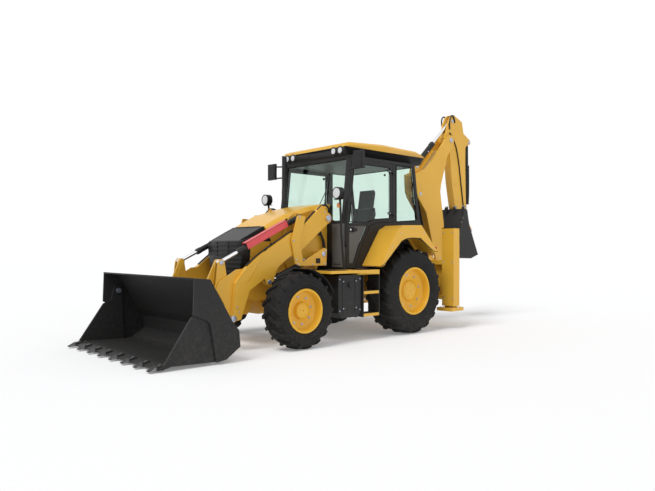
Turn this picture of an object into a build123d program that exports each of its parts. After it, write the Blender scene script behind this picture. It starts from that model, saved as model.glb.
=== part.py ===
"""Backhoe loader: front loader with opening bucket jaw, cab, and a side-shift rear digging arm.

Lengths are millimetres. The modelling frame has x forward from the rear axle, y to the
machine's left from its middle plane and z up from the ground. Exported pieces are moved
along x so that the origin lies under the middle of the whole machine.
"""
import os
from collections import namedtuple
from math import cos, hypot, radians, sin

from build123d import *

SEAT = 0.3
PIN_PLAY = 0.4

# Wheels. Widths are over the tread; lateral places run outward from the wheel's middle plane.
Wheel = namedtuple("Wheel", "hub_x hub_y radius width bead_r lug_height lugs lug_width lug_sweep "
                            "flange_r rim_half disc_out hub_out hub_r")
REAR_WHEEL = Wheel(0, 862, 655, 490, 335, 32, 18, 52, 150, 362, 222, 92, 137, 160)
FRONT_WHEEL = Wheel(2200, 947.5, 500, 340, 262, 27, 18, 40, 105, 287, 156, 30, 103, 112)
KINGPIN_Y = 790
AXLE_BEAM_HALF = 62
GUARD_REACH = 42
GUARD_START = 96
GUARD_STEP = 12
GUARD_THICK = 8
KNUCKLE_PLATE_Y = (742, 764)

# Widths across the front: frame rails, engine bay, loader towers, arms and levers stand beside the hood.
HOOD_HALF = 405
BAY_Y = HOOD_HALF - 1
RAIL_Y = (HOOD_HALF - 75, HOOD_HALF - 15)
TOWER_INNER_Y = (HOOD_HALF + 35, HOOD_HALF + 55)
LEVER_Y = TOWER_INNER_Y[1] + 40
LEVER_GAP = 25
LEVER_PLATE = 18
LINK_Y = (LEVER_Y - 73, LEVER_Y - 48)
BRACKET_Y = (LINK_Y[0] - 30, LINK_Y[0] - 5)
ARM_INNER_Y = LEVER_Y + 50
ARM_PLATE_Y = ARM_INNER_Y + 20
ARM_OUTER_Y = ARM_INNER_Y + 75
TOWER_OUTER_Y = (ARM_OUTER_Y + 12, ARM_OUTER_Y + 32)
EXHAUST_Y = TOWER_INNER_Y[1] + 45

# Front loader: pin places (x, z) with arms down and bucket flat on the ground.
ARM_PIVOT = (1388, 1735)
LEVER_PIVOT = (2981, 421)
BUCKET_PIN = (3133, 348)
LEVER_TOP = (3110, 1126)
LINK_END = (3288, 759)
JAW_PIVOT = (3687, 720)
TORQUE_TUBE_R = 45
BUCKET_HALF = 1203
BUCKET_SIDE = 20
JAW_GAP = 5
JAW_HALF = BUCKET_HALF - BUCKET_SIDE - JAW_GAP
JAW_SIDE = 23
JAW_TIP_X = 4376
JAW_TEETH = 8

# Frame between the axles, hood and nose.
RAIL_TOP = 939
FRAME_REAR_X = -863.7
FRAME_FRONT_X = 2700
WEIGHT_BOLT_Y = 180
WEIGHT_BOLT_Z = 555
WEIGHT_BOLT_DZ = 45
WEIGHT_BOLT_R = 9
SLATS = 9
SLAT_PITCH = 60
SLAT_HIGH = 18
SLAT_PROUD = 9
HOOD_REAR_X = 1196
HOOD_FRONT_X = 2307
HOOD_SKIRT_Z = 1225
HOOD_HINGE = (1215, 1925)
HOOD_PIN_R = 12
HOOD_PIN_IN = 59
HOOD_FRONT_Z = 1602
HOOD_ARC_R = hypot(HOOD_FRONT_X - HOOD_HINGE[0], HOOD_FRONT_Z - HOOD_HINGE[1])
HOOD_ARC_GAP = 6

# Cab.
CAB_SIDE_Y = 740
CAB_POST = 42
CAB_TUB_Y = 600
CAB_FLOOR_Z = 1000
CAB_SILL_Z = 1700
CAB_TOP_Z = 2660
ROOF_HALF = 720
DOOR_HINGE = (110, 752)
DOOR_HINGE_Z = (1800, 2450)
DOOR_PIN_R = 5
GLASS = 6

# Rear digging arm: plane of its folded pose, and pin places (x, z) in that plane.
HOE_Y = 200
SWING_X = -1420
SHIFT_FACE_X = FRAME_REAR_X - 156.3
BOOM_FOOT = (-1620, 800)
SWING_LUG_TOP = (938, 998)
SWING_LUG_LOW = (560, 620)
STICK_PIVOT = (-1966, 3288)
HOE_PIN = (-2520, 1460)
HOE_LEVER_PIN = (-2495, 1819)
HOE_LEVER_END = (-2644, 1649)
HOE_EAR = (-2639, 1285)
BOOM_CHEEK = (100, 130)
BOOM_FOOT_TOP = 1060
KINGPOST_CHEEK = (60, 99.7)
STICK_HALF = 70
HOE_EAR_Y = (105, 130)
HOE_HALF = 310
HOE_SIDE = 18
HOE_TOOTH_Y = (-285, -95, 95, 285)
HOE_REAR_X = -2690
STABILIZER_Y = (950, 1176)
HOUSING_WALL = 24

CENTRE_X = (JAW_TIP_X + HOE_REAR_X) / 2

# Hydraulic cylinders: pin places, side plane, radii, lengths along the axis, pin eye width.
Ram = namedtuple("Ram", "base eye y barrel_r rod_r barrel_len rod_len eye_r eye_w")
LIFT = Ram((1491, 1222), (2420, 860), ARM_INNER_Y + 40, 42, 22, 860, 890, 42, 48)
TILT = Ram((1823, 1737), LEVER_TOP, LEVER_Y, 38, 24, 1133, 1105, 38, 44)
BOOM_CYL = Ram((-1380, 1120), (-1080, 2250), HOE_Y, 50, 30, 1095, 1080, 46, 76)
STICK_CYL = Ram((-1070, 2728), (-2094, 3665), HOE_Y, 46, 28, 696, 712, 44, 70)
HOE_CYL = Ram((-2620, 3330), HOE_LEVER_END, HOE_Y, 42, 26, 1180, 1220, 38, 56)
PIN_START = 50
BASE_CAP = 25


def plate(points, y_low, y_high, corner=0):
    """Flat piece with an (x, z) outline, reaching across from y_low to y_high."""
    outline = make_face(Polyline(*points, close=True))
    if corner:
        outline = fillet(outline.vertices(), corner)
    return extrude(Plane.XZ.offset(-y_high) * outline, amount=y_high - y_low)


def slab(points, z_low, z_high, corner=0):
    """Flat piece with an (x, y) outline between two heights."""
    outline = make_face(Polyline(*points, close=True))
    if corner:
        outline = fillet(outline.vertices(), corner)
    return extrude(Plane.XY.offset(z_low) * outline, amount=z_high - z_low)


def panel(points, x_low, x_high):
    """Flat piece with a (y, z) outline between two places along the machine."""
    outline = make_face(Polyline(*points, close=True))
    return extrude(Plane.YZ.offset(x_low) * outline, amount=x_high - x_low)


def box(x_low, x_high, y_low, y_high, z_low, z_high):
    """Block between pairs of limits."""
    size = Box(x_high - x_low, y_high - y_low, z_high - z_low)
    return Pos((x_low + x_high) / 2, (y_low + y_high) / 2, (z_low + z_high) / 2) * size


def bar(place, radius, y_low, y_high):
    """Round bar across the machine at an (x, z) place."""
    base = Plane(origin=(place[0], y_low, place[1]), z_dir=(0, 1, 0))
    return base * Cylinder(radius, y_high - y_low, align=(Align.CENTER, Align.CENTER, Align.MIN))


def post(x, y, radius, z_low, z_high):
    """Upright round bar."""
    return Pos(x, y, z_low) * Cylinder(radius, z_high - z_low,
                                       align=(Align.CENTER, Align.CENTER, Align.MIN))


def rod(start, end, radius):
    """Round bar between two points in space."""
    axis = Vector(*end) - Vector(*start)
    base = Plane(origin=start, z_dir=axis)
    return base * Cylinder(radius, axis.length, align=(Align.CENTER, Align.CENTER, Align.MIN))


def band(points, thickness):
    """Closed outline of a sheet that follows a chain of points, with its left side thickened."""
    count = len(points)
    offset = []
    for index in range(count):
        before = points[max(index - 1, 0)]
        here = points[index]
        after = points[min(index + 1, count - 1)]
        lead = unit(before, here) if index else unit(here, after)
        follow = unit(here, after) if index < count - 1 else lead
        normal = (-lead[1] - follow[1], lead[0] + follow[0])
        reach = thickness * 2 / (normal[0] ** 2 + normal[1] ** 2)
        offset.append((here[0] + normal[0] * reach, here[1] + normal[1] * reach))
    return list(points) + offset[::-1]


def unit(start, end):
    """Direction between two plane points."""
    length = hypot(end[0] - start[0], end[1] - start[1])
    return ((end[0] - start[0]) / length, (end[1] - start[1]) / length)


def along(start, end, distance):
    """Point at a distance from start on the way to end."""
    way = unit(start, end)
    return (start[0] + way[0] * distance, start[1] + way[1] * distance)


def strut(start, end, width, y_low, y_high):
    """Flat bar with round ends between two (x, z) places."""
    way = unit(start, end)
    side = (-way[1] * width / 2, way[0] * width / 2)
    body = plate([(start[0] + side[0], start[1] + side[1]), (end[0] + side[0], end[1] + side[1]),
                  (end[0] - side[0], end[1] - side[1]), (start[0] - side[0], start[1] - side[1])],
                 y_low, y_high)
    return body + bar(start, width / 2, y_low, y_high) + bar(end, width / 2, y_low, y_high)


def other(shape):
    """The same piece on the machine's right."""
    return mirror(shape, about=Plane.XZ)


def both(shape):
    """A piece on the left with its twin on the right."""
    return shape + other(shape)


def pair(shape):
    """Left and right twins kept as two separate solids of one piece."""
    return Compound(children=list(shape.solids()) + list(other(shape).solids()))


def barrel(spec, y):
    """Cylinder barrel with a base eye, bored for its rod."""
    base = (spec.base[0], y, spec.base[1])
    start = along(spec.base, spec.eye, PIN_START)
    end = along(spec.base, spec.eye, spec.barrel_len)
    cap = along(spec.base, spec.eye, PIN_START + BASE_CAP)
    neck = rod(base, (start[0], y, start[1]), spec.eye_w / 2 - 2)
    tube = rod((start[0], y, start[1]), (end[0], y, end[1]), spec.barrel_r)
    bore = rod((cap[0], y, cap[1]), (end[0], y, end[1]), spec.rod_r + PIN_PLAY)
    eye = bar(spec.base, spec.eye_r, y - spec.eye_w / 2, y + spec.eye_w / 2)
    return neck + tube + eye - bore


def piston_rod(spec, y):
    """Cylinder rod with the eye at its outer end."""
    inner = along(spec.eye, spec.base, spec.rod_len)
    shaft = rod((spec.eye[0], y, spec.eye[1]), (inner[0], y, inner[1]), spec.rod_r)
    eye = bar(spec.eye, spec.eye_r, y - spec.eye_w / 2, y + spec.eye_w / 2)
    return shaft + eye


def ring(points, hub_x, hub_y, hub_z):
    """Body of revolution about a wheel's axis from (outward, radius) points."""
    plane = Plane(origin=(hub_x, hub_y, hub_z), x_dir=(0, 1, 0), z_dir=(1, 0, 0))
    face = plane * make_face(Polyline(*points, close=True))
    return revolve(face, axis=Axis((hub_x, hub_y, hub_z), (0, 1, 0)))


def tyre(spec):
    """Left tyre with slanted lugs that meet near the middle of the tread."""
    half = spec.width / 2
    base_r = spec.radius - spec.lug_height
    bead_half = spec.rim_half - 17
    mid_r = spec.bead_r + (base_r - spec.bead_r) * 0.55
    section = [(-bead_half, spec.bead_r + SEAT), (-bead_half, spec.flange_r + 6),
               (-half + 12, spec.flange_r + 22), (-half + 2, mid_r), (-half + 10, base_r - 40),
               (-half + 42, base_r - 8), (-half * 0.45, base_r)]
    carcass = ring(section + [(-u, v) for u, v in section[::-1]], 0, 0, 0)
    envelope = ring([(-half, base_r - 62), (-half, spec.radius - 26), (-half + 12, spec.radius - 10),
                     (-half * 0.4, spec.radius), (half * 0.4, spec.radius),
                     (half - 12, spec.radius - 10), (half, spec.radius - 26), (half, base_r - 62)],
                    0, 0, 0)
    width = spec.lug_width
    sweep = spec.lug_sweep
    outline = make_face(Polyline((-width, -6), (0, -6), (sweep * 0.45, half * 0.42), (sweep, half + 5),
                                 (sweep - width * 1.15, half + 5),
                                 (sweep * 0.45 - width * 1.1, half * 0.42), close=True))
    lug = extrude(Plane.XY.offset(base_r - 66) * outline, amount=spec.lug_height + 80) & envelope
    pitch = 360 / spec.lugs
    lugs = []
    for index in range(spec.lugs):
        lugs.append(Rot(0, index * pitch, 0) * lug)
        lugs.append(Rot(0, (index + 0.5) * pitch, 0) * mirror(lug, about=Plane.XZ))
    whole = carcass.fuse(*lugs)
    return Pos(spec.hub_x, spec.hub_y, spec.radius) * whole


def rim(spec):
    """Left wheel rim: barrel with flanges, dished disc and hub face."""
    half = spec.rim_half
    seat = half - 16
    barrel_in = spec.bead_r - 14
    disc_in = spec.disc_out - 14
    pad = spec.hub_out - 16
    points = [(half, spec.flange_r), (seat, spec.flange_r), (seat, spec.bead_r), (-seat, spec.bead_r),
              (-seat, spec.flange_r), (-half, spec.flange_r), (-half, barrel_in), (disc_in, barrel_in),
              (disc_in, spec.hub_r), (disc_in - 18, spec.hub_r - 14), (disc_in - 18, 0),
              (spec.hub_out, 0), (spec.hub_out, spec.hub_r - 34), (pad, spec.hub_r - 8),
              (spec.disc_out, spec.hub_r), (spec.disc_out, barrel_in - 40),
              (spec.disc_out + 22, barrel_in), (half, barrel_in)]
    return ring(points, spec.hub_x, spec.hub_y, spec.radius)


def hub_seat(spec):
    """Distance from the middle plane of the machine to the back of a wheel's hub."""
    return spec.hub_y + spec.disc_out - 14 - 18 - SEAT


def rear_axle():
    """Rear axle housing with its drive bulge and outer planetary ends."""
    centre = (REAR_WHEEL.hub_x, REAR_WHEEL.radius)
    reach = hub_seat(REAR_WHEEL)
    tube = bar(centre, 108, -600, 600)
    bulge = bar(centre, 185, -150, 150)
    nose = rod((0, 0, centre[1]), (300, 0, centre[1]), 90)
    end = bar(centre, 150, 560, 800) + bar(centre, 128, 790, reach)
    return tube + bulge + nose + both(end)


def front_axle():
    """Pivoting front axle beam with a fork at each end for the steering knuckle."""
    hub_z = FRONT_WHEEL.radius
    x = FRONT_WHEEL.hub_x
    half = [(0, 395), (150, 395), (230, 440), (700, 450), (700, 550), (230, 560), (150, 612), (0, 612)]
    beam = panel(half, x - AXLE_BEAM_HALF, x + AXLE_BEAM_HALF)
    fork = box(x - 55, x + 55, 640, 700, hub_z - 150, hub_z + 150)
    fork += box(x - 55, x + 55, 690, KINGPIN_Y, hub_z + 112, hub_z + 150)
    fork += box(x - 55, x + 55, 690, KINGPIN_Y, hub_z - 150, hub_z - 112)
    fork += post(x, KINGPIN_Y, 55, hub_z + 112, hub_z + 150)
    fork += post(x, KINGPIN_Y, 55, hub_z - 150, hub_z - 112)
    nose = rod((x, 0, hub_z), (x - 260, 0, hub_z), 80)
    return both(beam + fork) + nose


def knuckle():
    """Left steering knuckle with its stub towards the wheel."""
    hub_z = FRONT_WHEEL.radius
    x = FRONT_WHEEL.hub_x
    body = post(x, KINGPIN_Y, 62, hub_z - 112 + SEAT, hub_z + 112 - SEAT)
    stub = bar((x, hub_z), 96, KINGPIN_Y - 5, hub_seat(FRONT_WHEEL))
    arm = box(x - 150, x - 40, KINGPIN_Y - 30, KINGPIN_Y + 20, hub_z - 24, hub_z + 16)
    reach = FRONT_WHEEL.radius + GUARD_REACH
    points = []
    for step in range(6):
        angle = radians(GUARD_START + step * GUARD_STEP)
        points.append((x + reach * cos(angle), hub_z + reach * sin(angle)))
    guard = plate(band(points, GUARD_THICK), KNUCKLE_PLATE_Y[0], 1090)
    foot = [(x - 150, hub_z - 24), (x - 118, hub_z - 24), (x - 118, hub_z + 170)]
    stay = plate(foot + [points[0], points[1], points[2], points[3]], *KNUCKLE_PLATE_Y)
    return body + stub + arm + guard + stay


def main_frame():
    """Frame rails, cross members, engine bay sides and front cradle."""
    axle_top = REAR_WHEEL.radius + 108 + SEAT
    side = [(FRAME_REAR_X, 560), (FRAME_REAR_X, RAIL_TOP), (1350, RAIL_TOP), (1500, 900), (2700, 900),
            (2700, 640), (2420, 600), (1500, 700), (450, axle_top), (-250, axle_top), (-450, 560)]
    rails = both(plate(side, *RAIL_Y))
    bay = plate([(1500, 890), (2570, 890), (2570, 1215), (1500, 1215)], RAIL_Y[1] - 10, BAY_Y)
    bay += plate([(2090, 1205), (2570, 1205), (2570, 1398 - SEAT), (2090, 1398 - SEAT)],
                 RAIL_Y[1] - 10, BAY_Y) - hood_sweep()
    cradle = box(2450, FRAME_FRONT_X, -RAIL_Y[1], RAIL_Y[1], 640, 800 - SEAT)
    skid = plate([(2450, 640), (2450, 520), (2520, 420), (2660, 420), (FRAME_FRONT_X, 470),
                  (FRAME_FRONT_X, 640)], -270, 270)
    cross = box(FRAME_REAR_X, -800, -RAIL_Y[1], RAIL_Y[1], 560, RAIL_TOP)
    saddle = both(plate([(-130, axle_top), (-130, 900), (130, 900), (130, axle_top)],
                        RAIL_Y[0] - 80, RAIL_Y[0] + 5))
    pivot = box(2080, 2320, -RAIL_Y[0] - 5, RAIL_Y[0] + 5, 660, 720)
    beam_half = AXLE_BEAM_HALF + SEAT
    axle_x = FRONT_WHEEL.hub_x
    pivot += box(axle_x - 115, axle_x - beam_half, -70, 70, 585, 670)
    pivot += box(axle_x + beam_half, axle_x + 115, -70, 70, 585, 670)
    middle = box(1300, 1380, -RAIL_Y[0] - 5, RAIL_Y[0] + 5, 720, 900)
    frame = rails + both(bay) + cradle + skid + cross + saddle + pivot + middle
    for y in (-WEIGHT_BOLT_Y, WEIGHT_BOLT_Y):
        for z in (WEIGHT_BOLT_Z - WEIGHT_BOLT_DZ, WEIGHT_BOLT_Z + WEIGHT_BOLT_DZ):
            frame -= rod((FRAME_FRONT_X - 40, y, z), (FRAME_FRONT_X + 1, y, z), WEIGHT_BOLT_R)
    return frame


def hood_sweep():
    """Space that the hood's front edge sweeps as it opens."""
    return bar(HOOD_HINGE, HOOD_ARC_R + HOOD_ARC_GAP, -HOOD_HALF - 20, HOOD_HALF + 20)


def engine_block():
    """Engine as one plain block on the frame."""
    return box(1650, 2560, -260, 260, 800, 1330)


def gearbox():
    """Gearbox block between the rails with the two drive shafts to the axles."""
    body = box(640, 1240, -250, 250, 520, 930)
    front = rod((1240, 0, 570), (FRONT_WHEEL.hub_x - 268, 0, 501), 38)
    rear = rod((640, 0, 640), (302, 0, REAR_WHEEL.radius), 42)
    mounts = both(box(700, 760, 240, RAIL_Y[0] - SEAT, 820, 900))
    return body + front + rear + mounts


def grille():
    """Fixed nose with a bulged front, tapered below, and its cap under the hood's edge."""
    def section(z, half, front):
        bulge = front + 44
        edge = Polyline((front, -half), (FRAME_FRONT_X - 120, -half), (FRAME_FRONT_X - 120, half),
                        (front, half))
        arc = ThreePointArc((front, half), (bulge, 0), (front, -half))
        return Plane.XY.offset(z) * make_face(Curve() + edge.edges() + arc)

    lower = loft([section(800, 270, 2702), section(1200, HOOD_HALF, 2702)])
    upper = loft([section(1200, HOOD_HALF, 2702), section(1400, HOOD_HALF, 2702)])
    cap = plate([(2718, 1398), (2700, 1412), (2320, 1602), (HOOD_FRONT_X + 4, 1602), (HOOD_FRONT_X + 4, 1505),
                 (2420, 1398)], -HOOD_HALF + 50, HOOD_HALF - 50)
    cheek = both(plate([(2703, 1398), (2690, 1408), (2270, 1521), (2225, 1398)], HOOD_HALF - 55, HOOD_HALF)
                 - hood_sweep())
    proud = SLAT_PROUD
    skin = loft([section(800, 270 + proud, 2702 + proud), section(1200, HOOD_HALF + proud, 2702 + proud)])
    skin += loft([section(1200, HOOD_HALF + proud, 2702 + proud),
                  section(1400, HOOD_HALF + proud, 2702 + proud)])
    slats = []
    for index in range(SLATS):
        z = 860 + index * SLAT_PITCH
        slats.append(skin & box(2630, 2800, -HOOD_HALF - 20, HOOD_HALF + 20, z, z + SLAT_HIGH))
    whole = lower + upper + cap + cheek
    for slat in slats:
        whole += slat
    return whole


def hood():
    """Sloping engine hood, open below, with rounded upper edges."""
    top = [(HOOD_REAR_X, 1961), (1250, 1955), (1570, 1890), (1970, 1775), (2200, 1665),
           (HOOD_FRONT_X, HOOD_FRONT_Z)]
    outer = top + [(HOOD_FRONT_X, HOOD_SKIRT_Z), (HOOD_REAR_X, HOOD_SKIRT_Z)]
    wall = 22
    inner_top = [(x, z - wall) for x, z in top]
    inner = ([(HOOD_REAR_X - 1, inner_top[0][1])] + inner_top[1:-1]
             + [(HOOD_FRONT_X + 1, inner_top[-1][1] + 1), (HOOD_FRONT_X + 1, HOOD_SKIRT_Z - 1),
                (HOOD_REAR_X - 1, HOOD_SKIRT_Z - 1)])
    body = plate(outer, -HOOD_HALF, HOOD_HALF)
    crown = body.edges().filter_by(lambda e: abs(abs(e.center().Y) - HOOD_HALF) < 1
                                   and e.center().Z > 1590 and abs(e.tangent_at(0.5).Z) < 0.7
                                   and abs(e.tangent_at(0.5).Y) < 0.1)
    body = chamfer(crown, 55)
    hollow = plate(inner, -HOOD_HALF + wall + 40, HOOD_HALF - wall - 40)
    low = plate([(x, z - 85) for x, z in inner[:-2]] + inner[-2:], -HOOD_HALF + wall, HOOD_HALF - wall)
    pin_hole = bar(HOOD_HINGE, HOOD_PIN_R + PIN_PLAY, HOOD_HALF - HOOD_PIN_IN - 6, HOOD_HALF + 1)
    edge = bar(HOOD_HINGE, HOOD_ARC_R, -HOOD_HALF - 1, HOOD_HALF + 1)
    return (body - hollow - low - both(pin_hole)) & edge


def loader_towers():
    """Left and right loader towers joined by cross tubes, bolted to the frame rails."""
    inner = [(1300, 1760), (1345, 1815), (1440, 1810), (1560, 1720), (1700, 1690), (1790, 1800),
             (1870, 1800), (1960, 1740), (2072, 1410), (2007, 1091), (1900, 880), (1480, 880), (1400, 1150)]
    outer = [(1922, 1751), (1965, 1751), (2072, 1410), (2007, 1091), (1940, 1062), (1440, 1062),
             (1430, 1290), (1480, 1310), (1870, 1120), (1925, 1390), (1825, 1740)]
    side = plate(inner, *TOWER_INNER_Y)
    side += bar(LIFT.base, 46, TOWER_INNER_Y[1] - 5, LIFT.y - LIFT.eye_w / 2 - SEAT)
    side += bar(ARM_PIVOT, 68, TOWER_INNER_Y[1] - 5, ARM_INNER_Y - SEAT)
    side += bar(ARM_PIVOT, 34, TOWER_INNER_Y[1] - 5, ARM_OUTER_Y + 16)
    side += bar(ARM_PIVOT, 52, ARM_OUTER_Y + SEAT, ARM_OUTER_Y + 18)
    side += bar(TILT.base, 44, TOWER_INNER_Y[1] - 5, TILT.y - TILT.eye_w / 2 - SEAT)
    side += box(1520, 1880, BAY_Y + SEAT, TOWER_INNER_Y[0] + 5, 890, 950)
    side += plate([(1310, 1730), (1192, 1905), (1196, 1945), (1232, 1948), (1350, 1815)], *TOWER_INNER_Y)
    side += bar(HOOD_HINGE, HOOD_PIN_R, HOOD_HALF - HOOD_PIN_IN, TOWER_INNER_Y[0] + 5)
    cross = bar((1452, 1150), 40, -TOWER_INNER_Y[0] - 5, TOWER_INNER_Y[0] + 5)
    shelf = box(1440, 1640, TOWER_INNER_Y[1] + SEAT, TOWER_OUTER_Y[0] - SEAT, 1062, 1092)
    cheek = plate(outer, *TOWER_OUTER_Y)
    cheek += bar(LIFT.base, 46, LIFT.y + LIFT.eye_w / 2 + SEAT, TOWER_OUTER_Y[0] + 5)
    return Compound(children=[*(both(side) + cross).solids(), *pair(shelf).solids(), *pair(cheek).solids()])


def loader_arms():
    """Both loader arms with their forked tips, joined by the torque tube."""
    arm = [(2998, 386), (2952, 869), (2798, 1041), (2580, 1210), (2062, 1505), (1870, 1578), (1491, 1912),
           (1400, 1830), (1320, 1770), (1318, 1700), (1369, 1663), (1905, 1255), (2085, 1186), (2386, 979),
           (2740, 760), (2870, 400)]
    tip = [(2580, 1205), (2798, 1041), (2900, 1035), (3150, 890), (3200, 790), (3075, 590), (3192, 372),
           (3133, 288), (3000, 330), (2880, 395), (2740, 760), (2400, 975)]
    side = plate(arm, ARM_PLATE_Y - 5, ARM_OUTER_Y)
    side += plate([p for p in arm if p[0] < 2580] + [(2740, 760), (2580, 1205)], ARM_INNER_Y, ARM_PLATE_Y)
    side += plate(tip, ARM_INNER_Y, ARM_PLATE_Y)
    side += bar(ARM_PIVOT, 78, ARM_INNER_Y, ARM_OUTER_Y)
    side -= bar(ARM_PIVOT, 34 + PIN_PLAY, ARM_INNER_Y - 1, ARM_OUTER_Y + 1)
    eye = LIFT.eye
    lug_in = plate([(2280, 1060), (2520, 960), (2470, 840), (2440, 812), (2400, 812), (2370, 840)],
                   ARM_INNER_Y + 2, LIFT.y - LIFT.eye_w / 2 - SEAT)
    lug_out = plate([(2280, 1060), (2520, 960), (2470, 840), (2440, 812), (2400, 812), (2370, 840)],
                    LIFT.y + LIFT.eye_w / 2 + SEAT, ARM_OUTER_Y)
    side += lug_in + lug_out
    side -= bar(BUCKET_PIN, 28 + PIN_PLAY, ARM_INNER_Y - 1, ARM_PLATE_Y + 1)
    tube = bar(LEVER_PIVOT, TORQUE_TUBE_R, -ARM_INNER_Y - 5, ARM_INNER_Y + 5)
    return both(side) + tube


def tilt_lever():
    """Left two-plate lever that turns on the torque tube."""
    inner_y = LEVER_Y - LEVER_GAP
    outer_y = LEVER_Y + LEVER_GAP
    outline = [(2925, 400), (2960, 366), (3010, 366), (3045, 410), (3150, 640), (3205, 800), (3190, 860),
               (3158, 1120), (3130, 1166), (3088, 1166), (3063, 1130), (3010, 840)]
    plates = plate(outline, inner_y - LEVER_PLATE, inner_y) + plate(outline, outer_y, outer_y + LEVER_PLATE)
    web = plate([(3075, 500), (3145, 650), (3188, 790), (3168, 790), (3120, 655), (3055, 510)],
                inner_y - 5, outer_y + 5)
    sleeve = bar(LEVER_PIVOT, 64, inner_y - LEVER_PLATE, outer_y + LEVER_PLATE)
    bore = bar(LEVER_PIVOT, TORQUE_TUBE_R + PIN_PLAY, inner_y - LEVER_PLATE - 1, outer_y + LEVER_PLATE + 1)
    boss = bar(LEVER_TOP, 40, LINK_Y[1] + SEAT, inner_y - 2)
    return plates + web + sleeve + boss - bore


def tilt_link():
    """Left link plate from the lever's top to the bucket."""
    body = strut(LEVER_TOP, LINK_END, 74, *LINK_Y)
    return body + bar(LINK_END, 34, BRACKET_Y[1] + SEAT, LINK_Y[0] + 2)


def loader_bucket():
    """Fixed rear part of the bucket: mouldboard, side plates, ears and link brackets."""
    back = [(3876, 976), (3679, 959), (3382, 467), (3296, 364), (3277, 176), (3466, 48), (3582, 30)]
    side = back[:-1] + [(3592, 30), (3597, 32), (3678, 460), (3713, 501), (3888, 576), (3890, 592)]
    shell = plate(band(back, 16), -BUCKET_HALF + 5, BUCKET_HALF - 5)
    cheek = plate(side, BUCKET_HALF - BUCKET_SIDE, BUCKET_HALF)
    seat = bar(JAW_PIVOT, 48, JAW_HALF + SEAT, BUCKET_HALF - 5)
    ear = plate([(3133, 290), (3180, 290), (3296, 230), (3310, 370), (3398, 470), (3380, 478), (3260, 440),
                 (3133, 408), (3088, 390), (3072, 348), (3088, 306)], ARM_PLATE_Y + SEAT, ARM_PLATE_Y + 34)
    pin = bar(BUCKET_PIN, 28, ARM_INNER_Y - 2, ARM_PLATE_Y + 30)
    bracket = plate([(3262, 738), (3288, 716), (3556, 740), (3634, 870), (3560, 872), (3288, 800),
                     (3258, 785)], *BRACKET_Y)
    channel = both(plate([(3393, 470), (3686, 955), (3640, 955), (3350, 480)], 660, 760))
    return shell + both(cheek + seat + ear + pin + bracket) + channel


def bucket_jaw():
    """Opening jaw: floor with cutting edge and teeth between two side plates."""
    side = [(3897, 552), (3782, 600), (3760, 740), (3730, 790), (3644, 790), (3622, 740), (3625, 460),
            (3603, 60), (3612, 34), (4139, 50), (4190, 36), (4240, 52)]
    cheek = plate(side, JAW_HALF - JAW_SIDE, JAW_HALF)
    floor = plate([(3606, 33), (4139, 50), (4187, 36), (4292, 26), (4292, 44), (4187, 66), (4139, 70),
                   (3608, 55)], -JAW_HALF + 5, JAW_HALF - 5)
    teeth = []
    pitch = 2 * (JAW_HALF - 60) / (JAW_TEETH - 1)
    for index in range(JAW_TEETH):
        y = -JAW_HALF + 60 + index * pitch
        tooth = plate([(4205, 20), (4376, 18), (JAW_TIP_X, 26), (4290, 68), (4205, 78)], y - 36, y + 36)
        teeth.append(tooth)
    whole = both(cheek) + floor
    for tooth in teeth:
        whole += tooth
    return whole


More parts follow.
